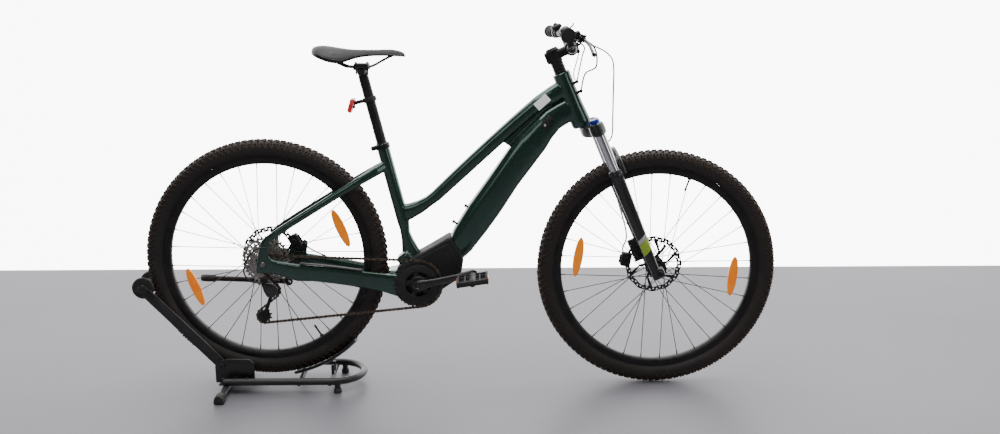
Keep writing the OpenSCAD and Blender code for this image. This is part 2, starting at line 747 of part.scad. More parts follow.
// ---- Hoses and cables ----
module front_hose() {
  color([0.02, 0.02, 0.02]) {
    bar = brake_at(1);
    bike() hose([bar + [14, -20, -4], [foot_x - 124, 236, steered(60, 0, clamp_t).z - 8],
      [foot_x - 97, 170, steered(60, 0, clamp_t - 30).z], [foot_x - 92, 96, steered(60, 0, stem_lo - 40).z],
      [foot_x - 91, 94, 900], [foot_x - 91, 95, 830], [foot_x - 92, 96, 770],
      steered(46, 95, axle_crown - 110), steered(26, 92, axle_crown - 210), steered(6, 88, 120),
      steered(-24, 76, 78), steered(-30, 58, 60)], 2.5);
  }
}

module rear_lines() {
  color([0.02, 0.02, 0.02]) bike() {
    bar = brake_at(-1);
    hose([bar + [14, 20, -4], bar + [52, 46, -30], bar + [64, 100, -84], steered(62, -56, head_hi - 26),
      steered(34, -29, head_hi - 70)], 2.5);
    hose([steered(66, -130.6, clamp_t + 29), steered(84, -110, clamp_t - 4), steered(72, -60, stem_lo - 10),
      steered(33, -26, head_hi - 40)], 2.2);
    hose([steered(68, 150, clamp_t + 32), steered(82, 110, clamp_t - 6), steered(74, 50, stem_lo - 6),
      steered(36, 10, stem_lo - 50), steered(30, -18, head_hi - 34)], 1.8);
    // rear brake hose from the chainstay to the caliper
    hose([[168, 60, rear_z - 8], [140, 60, rear_z + 4], [112, 58, rear_z + 22], [108, 55, rear_z + 34]], 2.5);
    // shift cable loop behind the dropout
    hose([[14, -86, rear_z + 52], [-18, -90, rear_z + 48], [-46, -92, rear_z + 14], [-54, -92, rear_z - 24],
      [-34, -92, rear_z - 50], [-9, -92, rear_z - 54]], 2.2);
  }
}

// ---- Seat ----
module seatpost() {
  color([0.03, 0.03, 0.035]) seat_axis() {
    top = seat_len + saddle_up - 68;
    difference() {
      translate([0, 0, seat_len - 130]) cylinder(r = post_d / 2, h = saddle_up + 52);
      translate([0, 0, seat_len - 131]) cylinder(r = post_d / 2 - 2.5, h = 250);
    }
  }
  color([0.03, 0.03, 0.035]) bike() translate(seat_at(seat_len + saddle_up - 66)) difference() {
    union() {
      across(13, -32, 32);
      translate([-22, -30, 4]) cube([44, 60, 15]);
    }
    for (y = [-22, 22]) translate([-30, y, 13]) rotate([0, 90, 0]) cylinder(r = 3.6, h = 60);
  }
}

function saddle_ref() = seat_at(seat_len + saddle_up);
module saddle_outline(inset) {
  w = 72 - inset;
  polygon([[-128 + inset, -30], [-120 + inset, -w + 10], [-98, -w], [-70, -w + 2], [-40, -w + 22],
    [-10, -38 + inset],
    [30, -24 + inset], [90, -20 + inset], [136 - inset, -17 + inset], [146 - inset, -8], [146 - inset, 8],
    [136 - inset, 17 - inset], [90, 20 - inset], [30, 24 - inset], [-10, 38 - inset], [-40, w - 22],
      [-70, w - 2],
    [-98, w], [-120 + inset, w - 10], [-128 + inset, 30]]);
}

module saddle_pad() {
  color([0.03, 0.03, 0.032]) bike() translate(saddle_ref()) difference() {
    intersection() {
      side(-80, 80) polygon([[-126, 0], [-118, 9], [-100, 12], [-60, 6], [0, 0], [60, 0], [107, 0], [135, -6],
        [146, -14], [140, -22], [112, -24], [62, -21], [0, -28], [-34, -50], [-60, -44], [-106, -18]]);
      translate([0, 0, -70]) linear_extrude(100) saddle_outline(0);
    }
    translate([0, 0, -80]) linear_extrude(68) saddle_outline(9);
  }
}

module saddle_frame() {
  color([0.08, 0.08, 0.085]) bike() translate(saddle_ref()) {
    translate([0, 0, -16]) linear_extrude(3.9) saddle_outline(10);
    both() {
      tube([[104, -4, -20], [70, -18, -38], [44, -22, -51], [-24, -22, -51], [-66, -30, -30],
        [-92, -34, -17]], 3.5);
    }
    translate([104, 0, -20]) across(4, -7, 7);
  }
}

module tail_reflector() {
  up = seat_len + 137;
  color([0.6, 0.02, 0.02]) bike() translate(seat_at(up)) {
    translate([-62, -25, -40]) cube([14, 50, 44]);
  }
  color([0.03, 0.03, 0.03]) seat_axis() translate([0, 0, up - 7]) difference() {
    union() {
      cylinder(r = post_d / 2 + 5, h = 14);
      translate([-52, -5, 1]) cube([40, 10, 12]);
    }
    translate([0, 0, -1]) cylinder(r = post_d / 2 + 0.02, h = 20);
  }
}

// ---- Fork ----
module fork_crown() {
  color([0.04, 0.04, 0.042]) steer() {
    difference() {
      union() {
        side(-44, 44) polygon([[-26, axle_crown - 34], [-26, axle_crown - 6], [-10, axle_crown],
          [48, axle_crown],
          [48, axle_crown - 36], [10, axle_crown - 42]]);
        both() translate([leg_p, leg_gap / 2, axle_crown - 40]) cylinder(r = stanchion_d / 2 + 6, h = 38);
      }
      both() translate([leg_p, leg_gap / 2, axle_crown - 50]) cylinder(r = stanchion_d / 2 + 0.02, h = 60);
    }
    translate([0, 0, axle_crown - 2]) cylinder(r = 14.3, h = stem_hi - axle_crown - 1);
  }
}

module stanchions() {
  color([0.75, 0.76, 0.78]) steer() both() translate([leg_p, leg_gap / 2, 0]) difference() {
    translate([0, 0, axle_crown - 270]) cylinder(r = stanchion_d / 2, h = 268);
    translate([0, 0, axle_crown - 271]) cylinder(r = stanchion_d / 2 - 3, h = 262);
  }
}

module lockout_knob() {
  color([0.03, 0.08, 0.5]) steer() translate([leg_p, -leg_gap / 2, axle_crown - 1.4]) {
    cylinder(r = 14, h = 12);
    translate([-18, -4, 2]) cube([18, 8, 8]);
  }
}

module fork_lowers() {
  color([0.03, 0.035, 0.035]) steer() difference() {
    union() {
      both() {
        translate([leg_p, leg_gap / 2, 24]) cylinder(r1 = 15.5, r2 = 20.5, h = 300);
        translate([leg_p, leg_gap / 2, 324]) cylinder(r = 22, h = 15);
        translate([leg_p, leg_gap / 2, -16]) cylinder(r = 13, h = 42);
        translate([fork_offset, 0, 0]) across(15, fork_half, 78);
        side(fork_half + 1, 78) polygon([[leg_p - 13, 40], [leg_p + 13, 40], [fork_offset + 15, 0],
          [fork_offset, -14],
          [leg_p - 13, -14]]);
      }
      // arch over the tyre
      translate([leg_p + 16.5, 0, 0]) rotate([90, 0, 90]) linear_extrude(15)
        polygon([[-68, 318], [-62, 346], [-46, 371], [-26, 405], [26, 405], [46, 371], [62, 346], [68, 318],
          [50, 318], [38, 352], [20, 381], [-20, 381], [-38, 352], [-50, 318]]);
    }
    both() translate([leg_p, leg_gap / 2, 130]) cylinder(r = stanchion_d / 2 + run, h = 300);
    translate([fork_offset, 0, 0]) across(7.5, -100, 100);
  }
}

// ---- Cockpit ----
function grip_line(y) = let (f = (y - 115) / (bar_w / 2 - 115))
  [54 - 17 * f, y, clamp_t + 46 + 10 * f];
function mirrored(v, s) = [v.x, s * v.y, v.z];
function st3(v) = steered(v.x, v.y, v.z);
// Brake clamp on the bar, on side s
function brake_at(s) = st3(mirrored(grip_line(212), s) + [22, 0, -16]);

module stem() {
  color([0.03, 0.03, 0.03]) steer() difference() {
    union() {
      translate([0, 0, head_hi + 5.5]) cylinder(r = 18.5, h = stem_lo - head_hi - 5.5);
      translate([0, 0, stem_lo]) cylinder(r = 20, h = stem_hi - stem_lo);
      side(-17, 17) polygon([[0, stem_lo + 4], [0, stem_hi - 2], [clamp_p - 8, clamp_t + 16],
        [clamp_p - 8, clamp_t - 16]]);
      translate([clamp_p, 0, clamp_t]) across(21, -25, 25);
      translate([0, 0, stem_hi + 0.1]) cylinder(r = 18, h = 4);
      for (k = [8, 30]) translate([-22, 0, stem_lo + k]) across(4, -12, 12);
    }
    translate([0, 0, head_hi]) cylinder(r = 14.35, h = stem_hi - head_hi);
    translate([clamp_p, 0, clamp_t]) across(15.92, -40, 40);
  }
}

module handlebar() {
  color([0.03, 0.03, 0.03]) steer() {
    translate([clamp_p, 0, clamp_t]) across(15.9, -38, 38);
    for (s = [-1, 1]) {
      rod(mirrored([clamp_p, 37, clamp_t], s), mirrored([clamp_p, 58, clamp_t], s), 15.9, 11.1);
      tube([mirrored([clamp_p, 56, clamp_t], s), mirrored([clamp_p, 64, clamp_t], s),
        mirrored(grip_line(115), s),
        mirrored(grip_line(bar_w / 2 - 4), s)], 11.1);
    }
  }
}

module grips() {
  color([0.03, 0.03, 0.03]) steer() for (s = [-1, 1]) difference() {
    union() {
      rod(mirrored(grip_line(238), s), mirrored(grip_line(bar_w / 2), s), 16);
      rod(mirrored(grip_line(238), s), mirrored(grip_line(244), s), 18.5);
      rod(mirrored(grip_line(bar_w / 2 - 16), s), mirrored(grip_line(bar_w / 2), s), 20);
    }
    rod(mirrored(grip_line(220), s), mirrored(grip_line(bar_w / 2 - 3.9), s), 11.15);
  }
}

pull_axis = [0.866, 0, 0.5];
function lever_pivot(s) = mirrored(grip_line(205), s) + [34, 0, -27];
module brake_bodies() {
  color([0.03, 0.03, 0.03]) steer() for (s = [-1, 1]) {
    g = mirrored(grip_line(212), s);
    p = lever_pivot(s);
    difference() {
      union() {
        rod(mirrored(grip_line(205), s), mirrored(grip_line(219), s), 17);
        rod(g + [4, 0, -6], g + [22, 0, -16], 8);
        // master cylinder along the bar
        rod(g + [22, s * 14, -16], g + [24, -s * 32, -18], 9);
        for (k = [-1, 1]) rod(p + k * 8 * pull_axis, p + k * 11 * pull_axis, 9);
        for (k = [-1, 1]) rod(p + k * 9.5 * pull_axis, g + [22, -s * 7, -16] + k * 8 * pull_axis, 4.5);
      }
      rod(mirrored(grip_line(190), s), mirrored(grip_line(234), s), 11.12);
      rod(p - 7.4 * pull_axis, p + 7.4 * pull_axis, 12);
    }
    rod(p - 9 * pull_axis, p + 9 * pull_axis, 2.5);
  }
}

module brake_lever(s) {
  p = lever_pivot(s);
  tip = mirrored(grip_line(306), s) + [44, 0, -74];
  mid = p + [3, s * 34, -8];
  difference() {
    union() {
      rod(p - 7 * pull_axis, p + 7 * pull_axis, 7);
      rod(p, mid, 4.4);
      rod(mid - [0, s * 2, 0], tip - [0, s * 10, 0], 4.1);
      translate(mid) sphere(5.2);
      translate(tip - [0, s * 10, 0]) sphere(6.5);
    }
    rod(p - 12 * pull_axis, p + 12 * pull_axis, 2.5 + run);
  }
}

module brake_lever_right() {
  color([0.04, 0.04, 0.04]) steer() brake_lever(-1);
}

module brake_lever_left() {
  color([0.04, 0.04, 0.04]) steer() brake_lever(1);
}

function shift_hub() = grip_line(148) + [16, 0, -30];
module shifter() {
  color([0.035, 0.035, 0.035]) steer() mirror([0, 1, 0]) difference() {
    union() {
      rod(grip_line(150), grip_line(162), 15.5);
      translate(grip_line(148) + [2, -14, -26]) cube([30, 32, 16]);
      translate(grip_line(148) + [2, 0, -24]) cube([14, 14, 24]);
      rod(shift_hub() - [0, 0, 12], shift_hub(), 2.5);
      rod(shift_hub() - [0, 0, 12], shift_hub() - [0, 0, 9.5], 5);
    }
    rod(grip_line(120), grip_line(190), 11.12);
  }
}

module shift_lever() {
  color([0.06, 0.06, 0.06]) steer() mirror([0, 1, 0]) translate(shift_hub() - [0, 0, 4.4]) difference() {
    union() {
      translate([0, 0, -4.4]) cylinder(r = 9, h = 4.4);
      translate([0, 0, -4.4]) rotate([0, 0, 130]) translate([0, -5, 0]) cube([40, 10, 4.4]);
      translate([0, 0, -4.4]) rotate([0, 0, 130]) translate([40, 0, 0]) cylinder(r = 9, h = 4.4);
    }
    translate([0, 0, -10]) cylinder(r = 2.5 + run, h = 20);
  }
}

module remote() {
  color([0.025, 0.025, 0.025]) steer() difference() {
    union() {
      rod(grip_line(168), grip_line(182), 15);
      translate(grip_line(175) + [-16, -20, 13]) cube([32, 40, 18]);
    }
    rod(grip_line(140), grip_line(200), 11.12);
    translate(grip_line(175) + [0, 6, 26]) cylinder(r = 6.4, h = 10);
  }
}

module remote_button() {
  color([0.2, 0.2, 0.21]) steer() translate(grip_line(175) + [0, 6, 27.6]) cylinder(r = 6, h = 5);
}

module kickstand() {
  color([0.04, 0.04, 0.04]) bike() {
    p = [44, 0, rear_z - 97];
    difference() {
      union() {
        translate(p) across(13, 80, 95);
        rod(p + [0, 89, 0], p + [-272, 116, 4], 8.5);
        rod(p + [-240, 112.8, 3.5], p + [-284, 117.2, 4.2], 12);
      }
      translate(p) across(6 + run, 60, 99);
    }
  }
}

stand_base();
stand_feet();
stand_arms();
stand_roller();
head_tube();
top_tube();
down_tube();
seat_tube();
rear_triangle();
seat_collar();
battery();
motor();
motor_cover();
cranks();
chainring();
pedal_right();
pedal_left();
chain();
cassette();
derailleur_body();
derailleur_cage();
jockey_upper();
jockey_lower();
rear_hub();
rear_axle();
rear_spokes();
rear_rim();
rear_tyre();
rear_rotor();
rear_reflectors();
front_hub();
front_axle();
front_spokes();
front_rim();
front_tyre();
front_rotor();
front_reflectors();
rear_caliper();
front_caliper();
front_hose();
rear_lines();
seatpost();
saddle_pad();
saddle_frame();
tail_reflector();
fork_crown();
stanchions();
lockout_knob();
fork_lowers();
stem();
handlebar();
grips();
brake_bodies();
brake_lever_right();
brake_lever_left();
shifter();
shift_lever();
remote();
remote_button();
kickstand();
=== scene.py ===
import json
import math
import bmesh
import bpy
from mathutils import Matrix, Vector


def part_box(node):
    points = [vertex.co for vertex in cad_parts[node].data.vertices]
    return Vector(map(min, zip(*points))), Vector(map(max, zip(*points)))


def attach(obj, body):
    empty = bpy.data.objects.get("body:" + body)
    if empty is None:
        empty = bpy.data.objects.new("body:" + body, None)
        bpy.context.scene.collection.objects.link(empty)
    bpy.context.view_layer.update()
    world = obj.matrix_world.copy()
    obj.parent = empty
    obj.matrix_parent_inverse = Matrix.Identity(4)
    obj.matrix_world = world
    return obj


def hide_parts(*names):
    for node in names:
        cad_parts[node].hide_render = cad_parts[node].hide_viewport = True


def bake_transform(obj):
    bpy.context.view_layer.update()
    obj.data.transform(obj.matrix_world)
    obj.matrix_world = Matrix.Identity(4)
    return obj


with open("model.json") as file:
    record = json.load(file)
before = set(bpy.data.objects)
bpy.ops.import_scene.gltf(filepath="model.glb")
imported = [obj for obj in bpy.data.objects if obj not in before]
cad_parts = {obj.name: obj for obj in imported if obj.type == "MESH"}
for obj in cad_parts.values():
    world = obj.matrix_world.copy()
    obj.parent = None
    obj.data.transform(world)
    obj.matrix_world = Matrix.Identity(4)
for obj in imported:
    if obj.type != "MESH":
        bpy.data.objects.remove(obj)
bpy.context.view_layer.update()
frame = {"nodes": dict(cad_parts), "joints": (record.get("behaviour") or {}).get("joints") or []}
joints = {j["name"]: j for j in frame["joints"]}
print("frame loaded:", len(frame["nodes"]), "nodes")


# places on the bicycle, in millimetres from its axles and along its two slanted tubes
rearAxle = Vector(joints["rear_wheel_spin"]["pos_m"])
frontAxle = Vector(joints["front_wheel_spin"]["pos_m"])
crankAxle = Vector(joints["crank_spin"]["pos_m"])
guideAxle = Vector(joints["jockey_upper_spin"]["pos_m"])
tensionAxle = Vector(joints["jockey_lower_spin"]["pos_m"])
steerUp = Vector(joints["steer"]["axis"]).normalized()
steerAhead = Vector((steerUp.z, 0, -steerUp.x))
steerFoot = Vector(joints["steer"]["pos_m"]) - 0.6 * steerUp
seatUp = Vector(joints["seat_height"]["axis"]).normalized()
seatAhead = Vector((seatUp.z, 0, -seatUp.x))


leftward = Vector((0, 1, 0))
steerLine = {"axis": steerUp, "ahead": steerAhead}
seatLine = {"axis": seatUp, "ahead": seatAhead}


def ray(angle):
    # unit direction in the side plane, from forward towards up
    return Vector((math.cos(angle), 0, math.sin(angle)))


def crossRay(angle):
    # a quarter turn on from ray
    return Vector((-math.sin(angle), 0, math.cos(angle)))


def nearRear(x, y, z):
    return rearAxle + Vector((x, y, z)) / 1000


def nearCrank(x, y, z):
    return crankAxle + Vector((x, y, z)) / 1000


def onFork(ahead, y, up):
    return steerFoot + (ahead * steerAhead + up * steerUp + Vector((0, y, 0))) / 1000


def onSeat(ahead, y, up):
    return crankAxle + (ahead * seatAhead + up * seatUp + Vector((0, y, 0))) / 1000


# modelling helpers: each leaves one finished object in object mode
def calm():
    if bpy.context.object and bpy.context.object.mode != "OBJECT":
        bpy.ops.object.mode_set(mode="OBJECT")
    bpy.ops.object.select_all(action="DESELECT")


def hold(piece):
    calm()
    piece.select_set(True)
    bpy.context.view_layer.objects.active = piece


def enter(piece):
    hold(piece)
    bpy.ops.object.mode_set(mode="EDIT")
    bpy.ops.mesh.select_all(action="SELECT")


def leave():
    bpy.ops.object.mode_set(mode="OBJECT")


def chooseFaces(piece, wanted):
    bpy.ops.mesh.select_all(action="DESELECT")
    mesh = bmesh.from_edit_mesh(piece.data)
    for face in mesh.faces:
        face.select = wanted(face)
    bmesh.update_edit_mesh(piece.data)


def finishWith(piece, kind, **settings):
    hold(piece)
    modifier = piece.modifiers.new("step", kind)
    for key, value in settings.items():
        setattr(modifier, key, value)
    bpy.ops.object.modifier_apply(modifier="step")
    return piece


def rounded(piece, width, segments=2, angle=30):
    return finishWith(piece, "BEVEL", width=width / 1000, segments=segments, limit_method="ANGLE",
                      angle_limit=math.radians(angle), harden_normals=False)


def startRing(name, count, filled=False):
    # a circle whose vertices know their place in the ring
    calm()
    bpy.ops.mesh.primitive_circle_add(vertices=count, radius=0.01, fill_type="NGON" if filled else "NOTHING")
    piece = bpy.context.object
    piece.name = name
    mark = piece.data.attributes.new("place", "INT", "POINT")
    mark.data.foreach_set("value", list(range(count)))
    enter(piece)
    return piece


def moveRing(piece, ring):
    mesh = bmesh.from_edit_mesh(piece.data)
    place = mesh.verts.layers.int["place"]
    for v in mesh.verts:
        if v.select:
            v.co = ring[v[place]]
    bmesh.update_edit_mesh(piece.data)


def tidyMesh(piece, merge=1e-6):
    bpy.ops.mesh.select_all(action="SELECT")
    bpy.ops.mesh.remove_doubles(threshold=merge)
    bpy.ops.mesh.delete_loose(use_verts=True, use_edges=True, use_faces=False)
    bpy.ops.mesh.select_all(action="SELECT")
    bpy.ops.mesh.normals_make_consistent(inside=False)
    leave()
    if "place" in piece.data.attributes:
        piece.data.attributes.remove(piece.data.attributes["place"])
    return piece


def drawnOut(name, rings, capped=True):
    # an edge ring extruded from section to section
    piece = startRing(name, len(rings[0]))
    for number, ring in enumerate(rings):
        if number:
            bpy.ops.mesh.extrude_edges_indiv()
        moveRing(piece, ring)
    if capped:
        bpy.ops.mesh.select_all(action="SELECT")
        bpy.ops.mesh.fill_holes(sides=0)
    return tidyMesh(piece)


def oval(top, bottom, halfWidth, power=2.0, count=28, lean=None):
    # a rounded section between an upper and a lower point, as wide as asked across Y
    middle, up = (top + bottom) / 2, (top - bottom) / 2
    side = Vector((0, halfWidth / 1000, 0)) if lean is None else lean * halfWidth / 1000
    ring = []
    for k in range(count):
        c, s = math.cos(2 * math.pi * k / count), math.sin(2 * math.pi * k / count)
        c, s = [math.copysign(abs(a) ** (2 / power), a) for a in (c, s)]
        ring.append(middle + up * c + side * s)
    return ring


def turned(name, profile, centre, steps=72, axis=(0, 1, 0), ahead=(1, 0, 0)):
    # a closed profile of [radius, along the axis] spun round the axis
    axis, ahead = Vector(axis).normalized(), Vector(ahead).normalized()
    piece = startRing(name, len(profile))
    moveRing(piece, [centre + (ahead * r + axis * a) / 1000 for r, a in profile])
    bpy.ops.mesh.spin(steps=steps, angle=2 * math.pi, center=centre, axis=axis, use_auto_merge=False)
    return tidyMesh(piece, 1e-5)


def ringOfCopies(piece, count, centre, axis=(0, 1, 0)):
    enter(piece)
    bpy.ops.mesh.spin(steps=count - 1, dupli=True, angle=2 * math.pi * (count - 1) / count, center=centre,
                      axis=axis, use_auto_merge=False)
    leave()
    return piece


def plate(name, outline, y0, y1, bevel=0.5, segments=2):
    # a side outline pushed out across Y
    piece = startRing(name, len(outline), filled=True)
    moveRing(piece, [Vector((p[0], y0 / 1000, p[-1])) for p in outline])
    bpy.ops.mesh.extrude_region_move(TRANSFORM_OT_translate={"value": (0, (y1 - y0) / 1000, 0)})
    tidyMesh(piece)
    return rounded(piece, bevel, segments) if bevel else piece


def block(name, centre, size, bevel=1.0, turn=(0, 0, 0), segments=2, taper=None, axes=None):
    # a box at its size and place; taper shrinks its upper face
    calm()
    bpy.ops.mesh.primitive_cube_add(size=0.001, location=(0, 0, 0))
    piece = bpy.context.object
    piece.name = name
    enter(piece)
    bpy.ops.transform.resize(value=size)
    if taper:
        chooseFaces(piece, lambda face: face.normal.z > 0.9)
        bpy.ops.transform.resize(value=(taper[0], taper[1], 1))
    leave()
    rounded(piece, bevel, segments)
    if axes:
        matrix = Matrix(axes).transposed().to_4x4()
    else:
        matrix = Matrix.Identity(4)
        for k, letter in enumerate("XYZ"):
            matrix = Matrix.Rotation(math.radians(turn[k]), 4, letter) @ matrix
    piece.data.transform(Matrix.Translation(centre) @ matrix)
    return piece


forkAxes = (steerAhead, leftward, steerUp)
seatAxes = (seatAhead, leftward, seatUp)


def smoothLine(points, steps=6):
    line = []
    last = len(points) - 1
    for i in range(last):
        a, b, c, d = points[max(i - 1, 0)], points[i], points[i + 1], points[min(i + 2, last)]
        for k in range(steps):
            t = k / steps
            line.append(0.5 * (2 * b + (c - a) * t + (2 * a - 5 * b + 4 * c - d) * t * t
                               + (3 * b - a - 3 * c + d) * t ** 3))
    return line + [points[last]]


def pipe(name, points, radius, steps=6, roundness=3, radii=None):
    # a round bar along a smooth line; radii scale it from point to point
    line = smoothLine([Vector(p) for p in points], steps)
    bar = bpy.data.curves.new(name, "CURVE")
    bar.dimensions = "3D"
    bar.bevel_depth = radius / 1000
    bar.bevel_resolution = roundness
    bar.use_fill_caps = True
    spline = bar.splines.new("POLY")
    spline.points.add(len(line) - 1)
    for k, p in enumerate(line):
        spline.points[k].co = (*p, 1)
        if radii:
            at = k / (len(line) - 1) * (len(radii) - 1)
            low = min(int(at), len(radii) - 2)
            spline.points[k].radius = radii[low] + (radii[low + 1] - radii[low]) * (at - low)
    piece = bpy.data.objects.new(name, bar)
    bpy.context.scene.collection.objects.link(piece)
    hold(piece)
    bpy.ops.object.convert(target="MESH")
    enter(bpy.context.object)
    return tidyMesh(bpy.context.object, 1e-6)


def capBolt(place, direction, radius=3.0, height=3.0, socket=True):
    # a bolt head with a hexagon socket, standing on place
    calm()
    bpy.ops.mesh.primitive_cylinder_add(vertices=12, radius=radius / 1000, depth=height / 1000)
    piece = bpy.context.object
    enter(piece)
    chooseFaces(piece, lambda face: face.normal.z > 0.9)
    bpy.ops.mesh.inset(thickness=radius * 0.12 / 1000, depth=radius * 0.1 / 1000)
    if socket:
        bpy.ops.mesh.inset(thickness=radius * 0.38 / 1000, depth=0)
        bpy.ops.mesh.extrude_region_move(TRANSFORM_OT_translate={"value": (0, 0, -height * 0.6 / 1000)})
    leave()
    direction = Vector(direction).normalized()
    turn = direction.to_track_quat("Z", "Y").to_matrix().to_4x4()
    piece.data.transform(Matrix.Translation(place + direction * height / 2000) @ turn)
    return piece


def joined(name, pieces):
    calm()
    for p in pieces:
        p.select_set(True)
    bpy.context.view_layer.objects.active = pieces[0]
    if len(pieces) > 1:
        bpy.ops.object.join()
    pieces[0].name = name
    return pieces[0]


def mirroredCopy(piece):
    hold(piece)
    bpy.ops.object.duplicate()
    twin = bpy.context.object
    twin.data.transform(Matrix.Scale(-1, 4, (0, 1, 0)))
    enter(twin)
    bpy.ops.mesh.flip_normals()
    leave()
    return twin


def bothSides(name, piece):
    return joined(name, [piece, mirroredCopy(piece)])


def settle(piece, body, finish, replaced=(), angle=35, name=None):
    # shading, finish, the body it rides, and the source pieces it stands for
    if name:
        piece.name = name
    hold(piece)
    bpy.ops.object.shade_smooth_by_angle(angle=math.radians(angle))
    piece.data.materials.clear()
    piece.data.materials.append(skin[finish])
    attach(piece, body)
    if replaced:
        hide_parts(*replaced)
    return piece


# surface effects shared by the finishes
def effect(name, inputs, outputs):
    tree = bpy.data.node_groups.new(name, "ShaderNodeTree")
    for title, value in inputs:
        tree.interface.new_socket(name=title, in_out="INPUT",
                                  socket_type="NodeSocketFloat").default_value = value
    for title in outputs:
        tree.interface.new_socket(name=title, in_out="OUTPUT", socket_type="NodeSocketFloat")
    return tree, tree.nodes.new("NodeGroupInput"), tree.nodes.new("NodeGroupOutput")


def node(tree, kind, **settings):
    made = tree.nodes.new(kind)
    for key, value in settings.items():
        setattr(made, key, value)
    return made


def wire(tree, start, end):
    tree.links.new(end, start)


def maths(tree, operation, a, b=None, clamp=False):
    made = node(tree, "ShaderNodeMath", operation=operation, use_clamp=clamp)
    for k, value in enumerate((a, b)):
        if value is None:
            continue
        if isinstance(value, (int, float)):
            made.inputs[k].default_value = value
        else:
            wire(tree, value, made.inputs[k])
    return made.outputs[0]


def objectNoise(tree, scale, detail=4.0, stretch=None):
    where = node(tree, "ShaderNodeTexCoord").outputs["Object"]
    if stretch:
        mapping = node(tree, "ShaderNodeMapping")
        mapping.inputs["Scale"].default_value = stretch
        wire(tree, where, mapping.inputs["Vector"])
        where = mapping.outputs[0]
    noise = node(tree, "ShaderNodeTexNoise")
    noise.inputs["Detail"].default_value = detail
    wire(tree, where, noise.inputs["Vector"])
    wire(tree, scale, noise.inputs["Scale"])
    return noise.outputs["Fac"]


def makeCloud():
    # slow patches, 0 to 1
    tree, start, end = effect("patches", [("Scale", 12), ("Low", 0.35), ("High", 0.65)], ["Value"])
    spread = node(tree, "ShaderNodeMapRange")
    wire(tree, objectNoise(tree, start.outputs["Scale"]), spread.inputs["Value"])
    wire(tree, start.outputs["Low"], spread.inputs["From Min"])
    wire(tree, start.outputs["High"], spread.inputs["From Max"])
    wire(tree, spread.outputs[0], end.inputs["Value"])
    return tree


def makeWear():
    # rubbed edges
    tree, start, end = effect("edgeWear", [("Reach", 0.0015), ("Scale", 90), ("Amount", 0.5)], ["Mask"])
    softened = node(tree, "ShaderNodeBevel", samples=4)
    wire(tree, start.outputs["Reach"], softened.inputs["Radius"])
    plain = node(tree, "ShaderNodeNewGeometry").outputs["Normal"]
    facing = node(tree, "ShaderNodeVectorMath", operation="DOT_PRODUCT")
    wire(tree, softened.outputs[0], facing.inputs[0])
    wire(tree, plain, facing.inputs[1])
    edge = maths(tree, "MULTIPLY", maths(tree, "SUBTRACT", 1.0, facing.outputs["Value"]), 9.0, clamp=True)
    rough = maths(tree, "POWER", objectNoise(tree, start.outputs["Scale"]), 1.6)
    mask = maths(tree, "MULTIPLY", maths(tree, "MULTIPLY", edge, rough), start.outputs["Amount"],
                 clamp=True)
    wire(tree, mask, end.inputs["Mask"])
    return tree


def makeDust():
    # settles on what faces up
    tree, start, end = effect("dust", [("Scale", 40), ("Amount", 0.3), ("Base", 0.15)], ["Mask"])
    split = node(tree, "ShaderNodeSeparateXYZ")
    wire(tree, node(tree, "ShaderNodeNewGeometry").outputs["Normal"], split.inputs[0])
    up = maths(tree, "ADD", maths(tree, "MAXIMUM", split.outputs["Z"], 0.0), start.outputs["Base"])
    speck = maths(tree, "POWER", objectNoise(tree, start.outputs["Scale"], 8.0), 2.2)
    wire(tree, maths(tree, "MULTIPLY", maths(tree, "MULTIPLY", up, speck), maths(
        tree, "MULTIPLY", start.outputs["Amount"], 3.0), clamp=True), end.inputs["Mask"])
    return tree


def makeGrain():
    # fine moulded or cast texture
    tree, start, end = effect("grain", [("Scale", 900), ("Coarse", 0.4)], ["Height"])
    fine = objectNoise(tree, start.outputs["Scale"], 3.0)
    where = node(tree, "ShaderNodeTexCoord").outputs["Object"]
    cells = node(tree, "ShaderNodeTexVoronoi", feature="SMOOTH_F1")
    wire(tree, where, cells.inputs["Vector"])
    wire(tree, maths(tree, "MULTIPLY", start.outputs["Scale"], 0.45), cells.inputs["Scale"])
    wire(tree, maths(tree, "ADD", fine, maths(
        tree, "MULTIPLY", cells.outputs["Distance"], start.outputs["Coarse"])), end.inputs["Height"])
    return tree


def makeFlake():
    # metal flakes in paint
    tree, start, end = effect("flake", [("Scale", 4200), ("Sharpness", 5)], ["Value"])
    where = node(tree, "ShaderNodeTexCoord").outputs["Object"]
    cells = node(tree, "ShaderNodeTexVoronoi")
    wire(tree, where, cells.inputs["Vector"])
    wire(tree, start.outputs["Scale"], cells.inputs["Scale"])
    split = node(tree, "ShaderNodeSeparateColor")
    wire(tree, cells.outputs["Color"], split.inputs[0])
    wire(tree, maths(tree, "POWER", split.outputs["Red"], start.outputs["Sharpness"]), end.inputs["Value"])
    return tree


def makeScuff():
    # thin handling marks along the object
    tree, start, end = effect("scuff", [("Scale", 60), ("Amount", 0.4)], ["Mask"])
    lines = objectNoise(tree, start.outputs["Scale"], 6.0, stretch=(1, 6, 9))
    thin = maths(tree, "MULTIPLY", maths(tree, "SUBTRACT", lines, 0.62, clamp=True), 9.0, clamp=True)
    wire(tree, maths(tree, "MULTIPLY", thin, start.outputs["Amount"], clamp=True), end.inputs["Mask"])
    return tree


effects = {"cloud": makeCloud(), "wear": makeWear(), "dust": makeDust(), "grain": makeGrain(),
           "flake": makeFlake(), "scuff": makeScuff()}


def placed(tree, name, **values):
    group = node(tree, "ShaderNodeGroup", node_tree=effects[name])
    for key, value in values.items():
        group.inputs[key].default_value = value
    return group.outputs[0]


def blended(tree, share, a, b):
    mix = node(tree, "ShaderNodeMix", data_type="RGBA")
    wire(tree, share, mix.inputs["Factor"])
    for value, socket in ((a, mix.inputs["A"]), (b, mix.inputs["B"])):
        if isinstance(value, tuple):
            socket.default_value = (*value, 1)
        else:
            wire(tree, value, socket)
    return mix.outputs["Result"]


